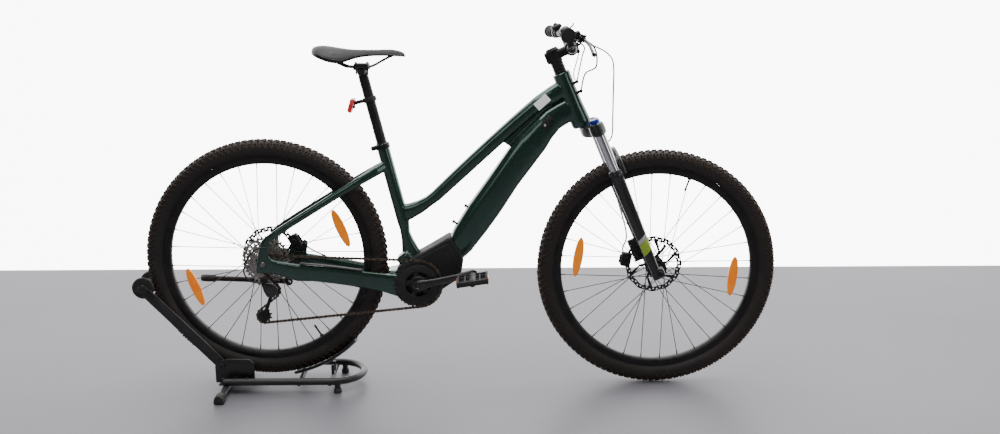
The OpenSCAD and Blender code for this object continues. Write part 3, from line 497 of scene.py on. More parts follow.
# each finish: two colours that drift into each other, how rough, then what age and handling did to it; lenses
# and the paper label also carry a painted glow
finishes = {
    "framePaint": {
        "colour": (0.007, 0.032, 0.022), "drift": (0.012, 0.046, 0.032), "patch": 5,
        "rough": (0.16, 0.25), "metallic": 0.62, "coat": 1.0, "flake": ((0.14, 0.33, 0.24), 4200, 0.7),
        "grain": (700, 0.00002), "dust": (60, 0.05, (0.3, 0.31, 0.28)),
        "wear": (0.0012, 0.1, (0.2, 0.3, 0.26)), "scuff": (50, 0.06, (0.16, 0.22, 0.2))},
    "standPaint": {
        "colour": (0.01, 0.01, 0.011), "drift": (0.022, 0.022, 0.023), "patch": 14, "rough": (0.28, 0.44),
        "coat": 0.25, "grain": (900, 0.00012), "dust": (70, 0.08, (0.12, 0.115, 0.11)),
        "wear": (0.002, 0.3, (0.1, 0.1, 0.1)), "scuff": (45, 0.16, (0.08, 0.08, 0.08))},
    "blackAnodised": {
        "colour": (0.008, 0.008, 0.009), "drift": (0.016, 0.016, 0.018), "patch": 22,
        "rough": (0.3, 0.42), "metallic": 0.35, "grain": (2200, 0.00004),
        "dust": (80, 0.16, (0.19, 0.18, 0.17)), "wear": (0.0008, 0.5, (0.3, 0.3, 0.31)),
        "scuff": (60, 0.18, (0.1, 0.1, 0.1))},
    "blackGloss": {
        "colour": (0.006, 0.006, 0.007), "drift": (0.011, 0.011, 0.012), "patch": 9,
        "rough": (0.16, 0.26), "coat": 0.6, "grain": (900, 0.00003), "dust": (60, 0.1, (0.22, 0.21, 0.2)),
        "wear": (0.001, 0.25, (0.14, 0.14, 0.14)), "scuff": (50, 0.12, (0.1, 0.1, 0.1))},
    "forkBlack": {
        "colour": (0.007, 0.01, 0.01), "drift": (0.012, 0.016, 0.016), "patch": 8, "rough": (0.22, 0.34),
        "coat": 0.5, "grain": (900, 0.00004), "dust": (60, 0.12, (0.2, 0.2, 0.19)),
        "wear": (0.001, 0.25, (0.12, 0.13, 0.13)), "scuff": (50, 0.12, (0.09, 0.1, 0.1))},
    "blackPlastic": {
        "colour": (0.011, 0.011, 0.011), "drift": (0.02, 0.02, 0.02), "patch": 30, "rough": (0.46, 0.62),
        "grain": (1500, 0.00016), "dust": (90, 0.22, (0.2, 0.19, 0.18)),
        "wear": (0.0008, 0.35, (0.07, 0.07, 0.07)), "scuff": (60, 0.16, (0.08, 0.08, 0.08))},
    "motorCast": {
        "colour": (0.01, 0.01, 0.011), "drift": (0.02, 0.019, 0.019), "patch": 16, "rough": (0.48, 0.64),
        "metallic": 0.2, "grain": (1100, 0.00028), "dust": (60, 0.12, (0.1, 0.092, 0.082)),
        "wear": (0.0012, 0.25, (0.12, 0.12, 0.12)), "scuff": (40, 0.25, (0.09, 0.09, 0.09))},
    "tyreRubber": {
        "colour": (0.018, 0.0105, 0.0078), "drift": (0.036, 0.021, 0.015), "patch": 16,
        "rough": (0.72, 0.9), "grain": (650, 0.00045), "dust": (42, 0.34, (0.15, 0.092, 0.064), 0.35),
        "wear": (0.0022, 0.55, (0.085, 0.064, 0.048)), "scuff": (24, 0.3, (0.12, 0.1, 0.08))},
    "sidewall": {
        "colour": (0.013, 0.0105, 0.0092), "drift": (0.024, 0.018, 0.0152), "patch": 10,
        "rough": (0.5, 0.66), "grain": (1400, 0.00014), "dust": (30, 0.12, (0.1, 0.088, 0.075), 0.4),
        "wear": (0.001, 0.3, (0.07, 0.065, 0.06)), "scuff": (30, 0.16, (0.08, 0.07, 0.065))},
    "brushedSteel": {
        "colour": (0.2, 0.195, 0.19), "drift": (0.34, 0.335, 0.33), "patch": 45, "rough": (0.22, 0.38),
        "metallic": 1.0, "grain": (2600, 0.00005), "dust": (90, 0.2, (0.12, 0.1, 0.08), 0.4),
        "wear": (0.0006, 0.6, (0.85, 0.84, 0.82)), "scuff": (90, 0.4, (0.22, 0.2, 0.18))},
    "discSteel": {
        "colour": (0.035, 0.034, 0.033), "drift": (0.075, 0.073, 0.07), "patch": 60, "rough": (0.26, 0.4),
        "metallic": 0.85, "grain": (2600, 0.00005), "dust": (90, 0.1, (0.08, 0.07, 0.06), 0.4),
        "wear": (0.0006, 0.8, (0.5, 0.49, 0.48)), "scuff": (90, 0.5, (0.16, 0.155, 0.15))},
    "sprocketSteel": {
        "colour": (0.42, 0.39, 0.36), "drift": (0.62, 0.59, 0.56), "patch": 60, "rough": (0.3, 0.46),
        "metallic": 0.9, "grain": (2600, 0.00006), "dust": (70, 0.3, (0.055, 0.04, 0.03), 0.6),
        "wear": (0.0006, 0.9, (0.8, 0.72, 0.68)), "scuff": (90, 0.4, (0.12, 0.1, 0.08))},
    "chainSteel": {
        "colour": (0.16, 0.125, 0.095), "drift": (0.32, 0.27, 0.22), "patch": 120, "rough": (0.38, 0.58),
        "metallic": 0.85, "grain": (2200, 0.0001), "dust": (200, 0.8, (0.03, 0.02, 0.013), 0.9),
        "wear": (0.0005, 0.8, (0.48, 0.4, 0.32)), "scuff": (150, 0.4, (0.07, 0.05, 0.035))},
    "chrome": {
        "colour": (0.74, 0.75, 0.77), "drift": (0.82, 0.83, 0.85), "patch": 8, "rough": (0.05, 0.11),
        "metallic": 1.0, "grain": (600, 0.00001), "dust": (60, 0.08, (0.3, 0.29, 0.27)),
        "wear": (0.0005, 0.1, (0.9, 0.9, 0.9)), "scuff": (80, 0.1, (0.5, 0.5, 0.5))},
    "spokeSteel": {
        "colour": (0.014, 0.014, 0.015), "drift": (0.03, 0.03, 0.032), "patch": 30, "rough": (0.26, 0.38),
        "metallic": 0.6, "grain": (1500, 0.00003), "dust": (60, 0.15, (0.08, 0.07, 0.06), 0.3),
        "wear": (0.0004, 0.2, (0.5, 0.5, 0.5)), "scuff": (80, 0.2, (0.12, 0.12, 0.12))},
    "gripRubber": {
        "colour": (0.01, 0.01, 0.01), "drift": (0.019, 0.019, 0.018), "patch": 35, "rough": (0.66, 0.82),
        "grain": (1300, 0.00022), "dust": (80, 0.22, (0.16, 0.15, 0.14)),
        "wear": (0.0008, 0.45, (0.06, 0.06, 0.058)), "scuff": (50, 0.14, (0.06, 0.06, 0.06))},
    "footRubber": {
        "colour": (0.012, 0.012, 0.012), "drift": (0.024, 0.023, 0.022), "patch": 25,
        "rough": (0.68, 0.84), "grain": (1000, 0.0003), "dust": (70, 0.45, (0.2, 0.19, 0.18), 0.3),
        "wear": (0.0015, 0.5, (0.09, 0.09, 0.088)), "scuff": (40, 0.2, (0.1, 0.1, 0.1))},
    "hoseJacket": {
        "colour": (0.009, 0.009, 0.009), "drift": (0.015, 0.015, 0.015), "patch": 20,
        "rough": (0.32, 0.46), "grain": (1800, 0.00006), "dust": (80, 0.14, (0.18, 0.17, 0.16)),
        "wear": (0.0005, 0.2, (0.05, 0.05, 0.05)), "scuff": (50, 0.1, (0.06, 0.06, 0.06))},
    # amber and red lenses carry a painted glow: their glow value makes them shine as if lit, though they are
    # reflectors and no lamps
    "amberLens": {
        "colour": (0.95, 0.2, 0.0), "drift": (1.0, 0.27, 0.0), "patch": 30, "rough": (0.1, 0.2),
        "coat": 0.3, "glow": 0.42, "prisms": (0.0042, 0.0007), "dust": (60, 0.02, (0.6, 0.2, 0.01)),
        "wear": (0.0006, 0.1, (1.0, 0.4, 0.02)), "scuff": (60, 0.05, (0.7, 0.2, 0.0))},
    "redLens": {
        "colour": (0.56, 0.008, 0.01), "drift": (0.7, 0.016, 0.014), "patch": 40, "rough": (0.1, 0.18),
        "coat": 0.8, "glow": 0.35, "prisms": (0.0036, 0.0006), "dust": (60, 0.08, (0.5, 0.3, 0.3)),
        "wear": (0.0005, 0.2, (0.9, 0.3, 0.3)), "scuff": (60, 0.1, (0.6, 0.2, 0.2))},
    "lockoutBlue": {
        "colour": (0.008, 0.026, 0.32), "drift": (0.014, 0.045, 0.44), "patch": 50, "rough": (0.24, 0.34),
        "metallic": 0.7, "grain": (2000, 0.00004), "dust": (80, 0.1, (0.3, 0.3, 0.35)),
        "wear": (0.0006, 0.5, (0.45, 0.5, 0.75)), "scuff": (60, 0.12, (0.15, 0.2, 0.4))},
    "buttonGrey": {
        "colour": (0.11, 0.11, 0.115), "drift": (0.16, 0.16, 0.165), "patch": 60, "rough": (0.44, 0.56),
        "grain": (1600, 0.0001), "dust": (80, 0.1, (0.25, 0.24, 0.23)),
        "wear": (0.0005, 0.3, (0.3, 0.3, 0.3)), "scuff": (60, 0.1, (0.2, 0.2, 0.2))},
    # the paper label carries a painted glow: its glow value makes it shine brighter than the lights alone make
    # it
    "labelPaper": {
        "colour": (0.8, 0.8, 0.79), "drift": (0.86, 0.86, 0.85), "patch": 30, "rough": (0.4, 0.52),
        "glow": 0.45, "grain": (1200, 0.00006), "dust": (60, 0.12, (0.55, 0.53, 0.5)),
        "wear": (0.0004, 0.3, (0.5, 0.5, 0.48)), "scuff": (60, 0.2, (0.6, 0.6, 0.58))},
    "limeStripe": {
        "colour": (0.42, 0.62, 0.03), "drift": (0.5, 0.7, 0.05), "patch": 40, "rough": (0.3, 0.4),
        "coat": 0.4, "grain": (1200, 0.00004), "dust": (60, 0.12, (0.4, 0.4, 0.3)),
        "wear": (0.0005, 0.3, (0.6, 0.7, 0.4)), "scuff": (60, 0.15, (0.35, 0.4, 0.2))},
    "paleStripe": {
        "colour": (0.58, 0.6, 0.6), "drift": (0.68, 0.69, 0.69), "patch": 40, "rough": (0.3, 0.4),
        "coat": 0.4, "grain": (1200, 0.00004), "dust": (60, 0.12, (0.4, 0.4, 0.38)),
        "wear": (0.0005, 0.3, (0.4, 0.4, 0.4)), "scuff": (60, 0.15, (0.3, 0.3, 0.3))},
    "saddleCover": {
        "colour": (0.005, 0.005, 0.007), "drift": (0.01, 0.01, 0.012), "patch": 18, "rough": (0.42, 0.58),
        "grain": (1100, 0.00022), "dust": (70, 0.04, (0.1, 0.1, 0.1)),
        "wear": (0.002, 0.3, (0.045, 0.045, 0.046)), "scuff": (35, 0.12, (0.06, 0.06, 0.06))},
    "saddleSide": {
        "colour": (0.013, 0.013, 0.014), "drift": (0.024, 0.024, 0.026), "patch": 24,
        "rough": (0.26, 0.38), "coat": 0.3, "grain": (1800, 0.00008),
        "dust": (70, 0.12, (0.16, 0.155, 0.15)), "wear": (0.001, 0.3, (0.06, 0.06, 0.06)),
        "scuff": (40, 0.12, (0.07, 0.07, 0.07))},
}


def makeFinish(name, look):
    material = bpy.data.materials.new(name)
    material.use_nodes = True
    tree = material.node_tree
    shader = tree.nodes["Principled BSDF"]
    cloud = placed(tree, "cloud", Scale=look["patch"])
    colour = blended(tree, cloud, look["colour"], look["drift"])
    if "flake" in look:
        tone, scale, amount = look["flake"]
        share = maths(tree, "MULTIPLY", placed(tree, "flake", Scale=scale), amount)
        colour = blended(tree, share, colour, tone)
    reach, amount, tone = look["wear"]
    colour = blended(tree, placed(tree, "wear", Reach=reach, Amount=amount), colour, tone)
    scale, amount, tone = look["scuff"]
    scuff = placed(tree, "scuff", Scale=scale, Amount=amount)
    colour = blended(tree, scuff, colour, tone)
    scale, amount, tone = look["dust"][:3]
    dust = placed(tree, "dust", Scale=scale, Amount=amount,
                  Base=look["dust"][3] if len(look["dust"]) > 3 else 0.15)
    colour = blended(tree, dust, colour, tone)
    wire(tree, colour, shader.inputs["Base Color"])
    spread = node(tree, "ShaderNodeMapRange")
    wire(tree, cloud, spread.inputs["Value"])
    spread.inputs["To Min"].default_value, spread.inputs["To Max"].default_value = look["rough"]
    aged = maths(tree, "ADD", maths(tree, "MULTIPLY", dust, 0.5), maths(tree, "MULTIPLY", scuff, 0.3))
    wire(tree, maths(tree, "ADD", spread.outputs[0], aged, clamp=True), shader.inputs["Roughness"])
    shader.inputs["Metallic"].default_value = look.get("metallic", 0.0)
    shader.inputs["Coat Weight"].default_value = look.get("coat", 0.0)
    shader.inputs["Coat Roughness"].default_value = 0.06
    # painted glow: the finish colour is also given off as light, a painted brightness on parts that are no
    # lamps
    if "glow" in look:
        wire(tree, colour, shader.inputs["Emission Color"])
        shader.inputs["Emission Strength"].default_value = look["glow"]
    bump = node(tree, "ShaderNodeBump")
    bump.inputs["Strength"].default_value = 1.0
    if "prisms" in look:
        pitch, depth = look["prisms"]
        cells = node(tree, "ShaderNodeTexVoronoi", distance="CHEBYCHEV")
        cells.inputs["Scale"].default_value = 1 / pitch
        cells.inputs["Randomness"].default_value = 0.0
        wire(tree, node(tree, "ShaderNodeTexCoord").outputs["Object"], cells.inputs["Vector"])
        bump.inputs["Distance"].default_value = depth
        wire(tree, cells.outputs["Distance"], bump.inputs["Height"])
    else:
        scale, depth = look["grain"]
        bump.inputs["Distance"].default_value = depth
        wire(tree, placed(tree, "grain", Scale=scale), bump.inputs["Height"])
    wire(tree, bump.outputs[0], shader.inputs["Normal"])
    return material


skin = {name: makeFinish(name, look) for name, look in finishes.items()}
print("finishes made:", len(skin))


# the frame's tubes are drawn out one by one, then welded into one skin with filleted joins
frameLook = {"voxel": 2.6, "smoothing": 6, "swell": 1.5}


def tubeBetween(name, stations):
    # stations are (upper point, lower point, half width, squareness)
    return drawnOut(name, [oval(a, b, w, p, 32) for a, b, w, p in stations])


downTube = tubeBetween("downTube", [
    (nearCrank(100, 0, 138), nearCrank(138, 0, 72), 34, 3.6),
    (nearCrank(110, 0, 162), nearCrank(161, 0, 93), 35.5, 3.6),
    (nearCrank(156, 0, 236), nearCrank(215, 0, 163), 36, 3.4),
    (nearCrank(215, 0, 318), nearCrank(253, 0, 217), 36, 3.4),
    (nearCrank(274, 0, 402), nearCrank(303, 0, 295), 35.5, 3.4),
    (nearCrank(302, 0, 441), onFork(-128, 0, 481), 34, 3.4),
    (onFork(-112, 0, 577), onFork(-100, 0, 502), 31, 3.2),
    (onFork(-84, 0, 588), onFork(-66, 0, 520), 27, 3.0),
    (onFork(-40, 0, 593), onFork(-34, 0, 525), 24, 2.8),
    (onFork(-6, 0, 594), onFork(-4, 0, 523), 21, 2.6)])
topTube = tubeBetween("topTube", [
    (nearCrank(-52, 0, 236), nearCrank(-44, 0, 190), 14, 2.6),
    (nearCrank(-30, 0, 238), nearCrank(-24, 0, 190), 15, 2.8),
    (nearCrank(0, 0, 247), nearCrank(16, 0, 214), 15.5, 3.0),
    (nearCrank(25, 0, 259.5), nearCrank(44, 0, 236), 16, 3.0),
    (nearCrank(43, 0, 274), nearCrank(66, 0, 251), 16, 3.0),
    (nearCrank(107, 0, 336), nearCrank(131, 0, 310), 16, 3.0),
    (nearCrank(162, 0, 388), nearCrank(187, 0, 361), 17, 3.0),
    (nearCrank(219, 0, 441), nearCrank(244, 0, 413), 18.5, 3.0),
    (nearCrank(286, 0, 502), nearCrank(311, 0, 473), 21, 3.0),
    (onFork(-101, 0, 634), onFork(-92, 0, 596), 22.5, 3.0),
    (onFork(-46, 0, 646), onFork(-50, 0, 594), 22.5, 2.6),
    (onFork(-6, 0, 652), onFork(-6, 0, 600), 20, 2.4)])
seatTube = tubeBetween("seatTube", [
    (onSeat(-17.6, 0, 436), onSeat(17.6, 0, 436), 17.6, 2.0),
    (onSeat(-17.6, 0, 330), onSeat(17.6, 0, 330), 17.6, 2.0),
    (onSeat(-17.6, 0, 240), onSeat(17.6, 0, 240), 17.6, 2.0),
    (onSeat(-17.4, 0, 190), onSeat(17.4, 0, 190), 17.2, 2.1),
    (nearCrank(-56, 0, 158), nearCrank(-28, 0, 152), 16, 2.2),
    (nearCrank(-51.5, 0, 128), nearCrank(-19, 0, 130), 16, 2.4),
    (nearCrank(-50.5, 0, 92), nearCrank(-4, 0, 102), 16, 2.6),
    (nearCrank(-50, 0, 62), nearCrank(8, 0, 84), 16.5, 2.8)])
headTube = tubeBetween("headTube", [
    (onFork(-27.5, 0, 501.5), onFork(27.5, 0, 501.5), 27.5, 2.0),
    (onFork(-29, 0, 512), onFork(29, 0, 512), 29, 2.0),
    (onFork(-27.5, 0, 532), onFork(27.5, 0, 532), 27.5, 2.0),
    (onFork(-25.5, 0, 570), onFork(25.5, 0, 570), 25.5, 2.0),
    (onFork(-24.4, 0, 630), onFork(24.4, 0, 630), 24.4, 2.0),
    (onFork(-25.3, 0, 662), onFork(25.3, 0, 662), 25.3, 2.0),
    (onFork(-25.3, 0, 670), onFork(25.3, 0, 670), 25.3, 2.0)])


def stayRing(x, z, slope, y, depth, width, power=2.8):
    a = math.radians(slope)
    up = crossRay(a) * depth / 2000
    return oval(nearRear(x, y, z) + up, nearRear(x, y, z) - up, width / 2, power, 20)


seatStay = drawnOut("seatStay", [
    stayRing(6, 62, 60, -76.5, 20, 10.5), stayRing(18, 76, 40, -76.2, 19, 10.5),
    stayRing(46, 96, 34, -74, 18, 12), stayRing(90, 124, 32, -70, 18.5, 13),
    stayRing(160, 167, 32, -63, 19, 14), stayRing(235, 213, 31, -54, 20, 14.5),
    stayRing(300, 251, 29, -43, 23, 15), stayRing(345, 276, 27, -26, 26, 18),
    stayRing(368, 288, 26, -8, 28, 20), stayRing(376, 292, 26, 4, 28, 20)])
chainStay = drawnOut("chainStay", [
    stayRing(-14, -6, 0, -76.7, 34, 10.5, 4), stayRing(20, -6, -4, -76.7, 36, 10.5, 4),
    stayRing(60, -16, -12, -76, 42, 12, 3.6), stayRing(104, -28, -10, -73.5, 50, 14.5, 3.4),
    stayRing(150, -32, -7, -68, 46, 15.5, 3.4), stayRing(220, -42, -10, -60, 48, 16.5, 3.4),
    stayRing(300, -56, -11, -50, 50, 17, 3.4), stayRing(362, -68, -10, -46, 56, 16, 3.4),
    stayRing(404, -78, -8, -44, 66, 15, 3.4)])
dropout = plate("dropout", [nearRear(*p) for p in [
    (-19, 0, -25), (-18, 0, -4), (-12, 0, 24), (-3, 0, 62), (8, 0, 76), (22, 0, 70), (17, 0, 46),
    (17, 0, 24),
    (24, 0, 14), (40, 0, 8), (44, 0, -26), (14, 0, -28)]], -81.5, -72, 0)
yoke = block("yoke", nearCrank(-74, 0, 4), (34, 78, 62), 8, (0, -8, 0), 3)
footLeft = block("seatFoot", nearCrank(-38, 0, 64), (44, 56, 46), 10, (0, -38, 0), 3)
web = plate("web", [nearCrank(x, 0, z) for x, z in [
    (262, 428), (288, 411), (318, 452), (352, 488), (404, 536), (410, 556), (372, 545),
    (310, 478)]], -7, 7, 0)
leftMount = plate("leftMount", [nearRear(*p) for p in [
    (52, 0, -10), (56, 0, 16), (102, 0, 42), (111, 0, 36), (104, 0, -12)]], 66.5, 71.5, 0)
stays = bothSides("stays", joined("staysRight", [seatStay, chainStay, dropout]))
weldment = joined("frameWeldment", [downTube, topTube, seatTube, headTube, stays, yoke, footLeft, leftMount,
                                    web])
hold(weldment)
weldment.data.remesh_voxel_size = frameLook["voxel"] / 1000
bpy.ops.object.voxel_remesh()
finishWith(weldment, "SMOOTH", factor=0.5, iterations=frameLook["smoothing"])
finishWith(weldment, "DISPLACE", strength=frameLook["swell"] / 1000, mid_level=0)
settle(weldment, "frame", "framePaint", ("down_tube", "top_tube", "seat_tube", "head_tube",
                                         "rear_triangle"),
       60)
print("frame welded:", len(weldment.data.polygons), "faces")


# wheels: casing radii are measured about the casing's own middle
wheelLook = {"casingMiddle": 341.1, "casing": 26.0, "lining": 23, "knobFoot": 25.4, "knobRows": 116,
             "spokes": 32, "spokeSpacing": 11.25}


def knob(x, wide, deep, high, lean):
    # one tread block standing on the casing above the axle, then leant over its shoulder
    piece = block("knob", Vector((0, 0, high / 2000)), (deep, wide, high), 0.7, segments=1,
                  taper=(0.74, 0.74))
    a = math.radians(lean)
    piece.data.transform(Matrix.Translation((x / 1000, 0, 0)) @ Matrix.Rotation(-a, 4, "X"))
    return piece


def casingPoint(angle, radius=wheelLook["casing"]):
    # point of the casing at an angle from straight out
    a = math.radians(angle)
    return wheelLook["casingMiddle"] + radius * math.cos(a), radius * math.sin(a)


def buildWheel(end, axle, body):
    outer = [casingPoint(a) for a in range(-138, 139, 12)]
    lining = [casingPoint(a, wheelLook["lining"]) for a in range(134, -135, -22)]
    profile = [(318.6, -15.0)] + outer + [(318.6, 15.0)] + lining
    casing = turned(end + "Casing", profile, axle, 96)
    settle(casing, body, "sidewall")
    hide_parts(end + "_tyre")
    # tread: a row of blocks across the casing, each as angle, width, length, height and shift round the tyre
    rows = []
    for angle, wide, deep, high, shift in [
            (-9, 8.0, 9.5, 3.4, 0), (9, 8.0, 9.5, 3.4, 7), (-29, 7.5, 8.0, 3.6, 9), (29, 7.5, 8.0, 3.6, 2),
            (-50, 8.5, 7.0, 4.2, 1), (50, 8.5, 7.0, 4.2, 10), (-50, 5.5, 5.0, 3.2, 10), (50, 5.5, 5.0, 3.2,
                2),
            (-67, 8.0, 7.0, 3.0, 5), (67, 8.0, 7.0, 3.0, 13), (-83, 6.5, 6.0, 2.0, 11), (83, 6.5, 6.0, 2.0,
                3)]:
        r, y = casingPoint(angle, wheelLook["knobFoot"])
        piece = knob(shift, wide, deep, high, angle)
        piece.data.transform(Matrix.Translation(axle + Vector((0, y, r)) / 1000))
        rows.append(piece)
    tread = joined(end + "Tread", rows)
    ringOfCopies(tread, wheelLook["knobRows"], axle)
    settle(tread, body, "tyreRubber")
    # hooked rim, the same on both sides
    half = [(294.6, 6), (296.5, 10.5), (302, 15.2), (310, 15.9), (318, 15.9), (318.4, 14.6), (311.5, 13.8),
            (309, 9),
            (304, 5)]
    rim = turned(end + "Rim", [(r, -y) for r, y in half] + half[::-1], axle, 96)
    settle(rim, body, "blackAnodised", (end + "_rim",), 40)


buildWheel("rear", rearAxle, "rear_wheel")
buildWheel("front", frontAxle, "front_wheel")
print("wheels built")


# what goes in each wheel: spokes, hub, disc, reflectors and valve
def buildSpokes(end, axle, body, flangeRight, flangeLeft):
    bars = []
    for k in range(wheelLook["spokes"]):
        side = -1 if k % 2 == 0 else 1
        lead = 1 if (k // 2) % 2 == 0 else -1
        a = math.radians(k * wheelLook["spokeSpacing"] + 4)
        h = a + math.radians(lead * 63)
        y = (flangeRight if side < 0 else flangeLeft) + lead * 1.6
        inner = axle + Vector((26 * math.cos(h), y, 26 * math.sin(h))) / 1000
        outer = axle + Vector((296 * math.cos(a), side * 3.5, 296 * math.sin(a))) / 1000
        run = (outer - inner).normalized()
        bend = inner - Vector((0, lead * 0.0028, 0))
        bars.append(pipe("spoke", [bend, inner + run * 0.004, outer - run * 0.014], 1.2, 2, 1))
        bars.append(pipe("nipple", [outer - run * 0.016, outer - run * 0.004, outer], 1.9, 1, 1,
                         radii=[0.75, 1.0, 1.0]))
    spokes = joined(end + "Spokes", bars)
    settle(spokes, body, "spokeSteel", (end + "_spokes",), 50)


def buildHub(end, axle, body, fr, fl, discAt):
    # shell with a drilled flange each side, a waist, and a seat for the disc
    hub = turned(end + "Hub", [(8, fr - 6), (15, fr - 6), (18, fr - 3), (28, fr - 2.2), (30, fr - 1),
                               (30, fr + 1),
                               (28, fr + 2.2), (19, fr + 4), (15.5, fr + 9), (13.5, (fr + fl) / 2),
                               (15.5, fl - 9),
                               (19, fl - 4), (28, fl - 2.2), (30, fl - 1), (30, fl + 1), (28, fl + 2.2),
                               (21, fl + 5), (17, discAt - 3), (24, discAt - 2.6), (24, discAt - 1),
                               (15, discAt - 1),
                               (15, discAt + 4), (10, discAt + 7), (8, discAt + 7)], axle, 48)
    holes = [capBolt(axle + Vector((24.5 * math.cos(t), y, 24.5 * math.sin(t))) / 1000, (0, d, 0), 1.7, 1.0,
                     False)
             for t in [math.radians(22.5 * k) for k in range(16)]
             for y, d in ((fr - 2.2, -1), (fl + 2.2, 1))]
    settle(joined(end + "Hub", [hub] + holes), body, "blackAnodised", (end + "_hub",))


def buildDisc(end, axle, body, discAt):
    # a wavy pierced braking ring, curved arms, a carrier and six bolts
    waves, steps = 12, 96
    ringInner, ringOuter = [], []
    for k in range(steps):
        t = 2 * math.pi * k / steps
        wave = math.cos(waves * t)
        ringOuter.append((t, 88.4 + 1.4 * wave))
        ringInner.append((t, 74.0 + 1.6 * wave))
    at = axle + Vector((0, discAt, 0)) / 1000
    rows = []
    for share in (0, 0.22, 0.5, 0.78, 1):
        rows.append([at + ray(t) * (r0 + (r1 - r0) * share) / 1000
                     for (t, r0), (_, r1) in zip(ringInner, ringOuter)])
    ring = drawnOut("discRing", rows, capped=False)

    def isWindow(face):
        middle = face.calc_center_median() - axle
        t = (math.atan2(middle.z, middle.x) % (2 * math.pi)) / (2 * math.pi) * steps
        row = int((math.hypot(middle.x, middle.z) * 1000 - 73.6) / 3.8)
        return (row == 1 and int(t) % 4 == 0) or (row == 2 and int(t) % 4 == 2)

    enter(ring)
    chooseFaces(ring, isWindow)
    bpy.ops.mesh.delete(type="FACE")
    leave()
    arms = []
    for k in range(6):
        t = math.radians(60 * k)
        lean = math.radians(60 * k + 26)
        p = [at + ray(t) * 0.022,
             at + ray(t + 0.14) * 0.045,
             at + ray(lean) * 0.0755]
        across = [crossRay(t) * 0.0052, crossRay(t + 0.2)
                  * 0.0032, crossRay(lean) * 0.0062]
        arm = startRing("discArm", 6, filled=True)
        moveRing(arm, [p[0] - across[0], p[1] - across[1], p[2] - across[2], p[2] + across[2],
                       p[1] + across[1],
                       p[0] + across[0]])
        leave()
        arms.append(arm)
    rim = [ray(math.pi * k / 24) for k in range(48)]
    carrier = drawnOut("discCarrier", [[at + v * r for v in rim] for r in (0.0165, 0.0205, 0.0255)],
                       capped=False)
    disc = joined(end + "Disc", [ring, carrier] + arms)
    finishWith(disc, "SOLIDIFY", thickness=0.0018, offset=0)
    rounded(disc, 0.25, 1)
    bolts = [capBolt(at + Vector((21 * math.cos(t), 0.9, 21 * math.sin(t))) / 1000, (0, 1, 0), 3.4, 2.2)
             for t in [math.radians(60 * k + 30) for k in range(6)]]
    settle(joined(end + "Disc", [disc] + bolts), body, "discSteel", (end + "_rotor",))


def buildReflectors(end, axle, body, places):
    # long oval lenses with a raised rim, each on two clips
    glass, clips = [], []
    for aim, reach in places:
        t = math.radians(aim)
        out, along = ray(t), crossRay(t)
        centre = axle + out * reach / 1000
        ring = [centre + (out * 14 * math.cos(turn) + along * 62 * math.sin(turn)) / 1000
                for turn in [2 * math.pi * k / 36 for k in range(36)]]
        lens = startRing("lens", 36, filled=True)
        moveRing(lens, [p + Vector((0, -0.0238, 0)) for p in ring])
        bpy.ops.mesh.extrude_region_move(TRANSFORM_OT_translate={"value": (0, 0.0072, 0)})
        tidyMesh(lens)
        enter(lens)
        chooseFaces(lens, lambda face: abs(face.normal.y) > 0.9)
        bpy.ops.mesh.inset(thickness=0.0016, depth=0)
        bpy.ops.mesh.inset(thickness=0.0006, depth=-0.0012)
        leave()
        rounded(lens, 0.5, 2, 40)
        glass.append(lens)
        for s in (-1, 1):
            clips.append(block("clip", centre + along * s * 0.012 + Vector((0, -0.0165, 0)), (7, 5, 5), 1.2,
                               axes=(out, leftward, along)))
    settle(joined(end + "Reflectors", glass), body, "amberLens", (end + "_reflectors",))
    settle(joined(end + "ReflectorClips", clips), body, "amberLens")


def buildValve(end, axle, body, angle):
    # stem with its cap and ring nut
    t = math.radians(angle)
    out = ray(t)
    stem = turned(end + "Valve", [(0, 0), (3, 0), (3, 26), (2.6, 28), (2.6, 29), (3.4, 30), (3.4, 38),
                                  (2.2, 42),
                                  (0, 42)], axle + out * 0.296, 16, axis=-out, ahead=leftward)
    nut = turned("nut", [(3, 0), (6, 0), (6.4, 1), (6, 3), (3, 3)], axle + out * 0.2945, 16, axis=-out,
                 ahead=leftward)
    settle(joined(end + "Valve", [stem, nut]), body, "blackPlastic")


for end, axle, flanges, discAt, places, valveAt in (
        ("rear", rearAxle, (-18.5, 26.5), 51.1, [(23, 249), (201, 238)], -58),
        ("front", frontAxle, (-26, 26), 43.2, [(-6, 238), (171, 247)], 71)):
    body = end + "_wheel"
    buildSpokes(end, axle, body, *flanges)
    buildHub(end, axle, body, *flanges, discAt)
    buildDisc(end, axle, body, discAt)
    buildReflectors(end, axle, body, places)
    buildValve(end, axle, body, valveAt)
print("hubs, discs and reflectors built")


# drive: tooth counts, the chain's distance from the middle plane, its pitch and the drive unit's half width
driveLook = {"ring": 36, "cogs": (11, 13, 15, 17, 20, 23, 26, 30, 36), "chainAt": -58, "link": 12.7,
             "motorHalf": 45}


def pitchRadius(teeth):
    return driveLook["link"] / (2 * math.sin(math.pi / teeth))


def toothed(name, teeth, centre, y, thick, bore, turnedBy=0.0, tip=3.0):
    # one sprocket: a toothed edge round a bore
    r = pitchRadius(teeth)
    outline = []
    for i in range(teeth):
        a = turnedBy + 2 * math.pi * (i + 0.5) / teeth
        step = 2 * math.pi / teeth
        for da, radius in ((-0.30, r - 3.9), (-0.13, r + tip * 0.55), (-0.06, r + tip), (0.06, r + tip),
                           (0.13, r + tip * 0.55), (0.30, r - 3.9)):
            outline.append(centre + ray(a + da * step) * radius / 1000)
    count = len(outline)
    inner = []
    for i in range(count):
        a = turnedBy + 2 * math.pi * (i + 3) / count
        inner.append(centre + ray(a) * bore / 1000)
    at = Vector((0, y / 1000, 0))
    flat = drawnOut(name, [[p + at for p in inner], [p + at for p in outline]], capped=False)
    finishWith(flat, "SOLIDIFY", thickness=thick / 1000, offset=0)
    return flat


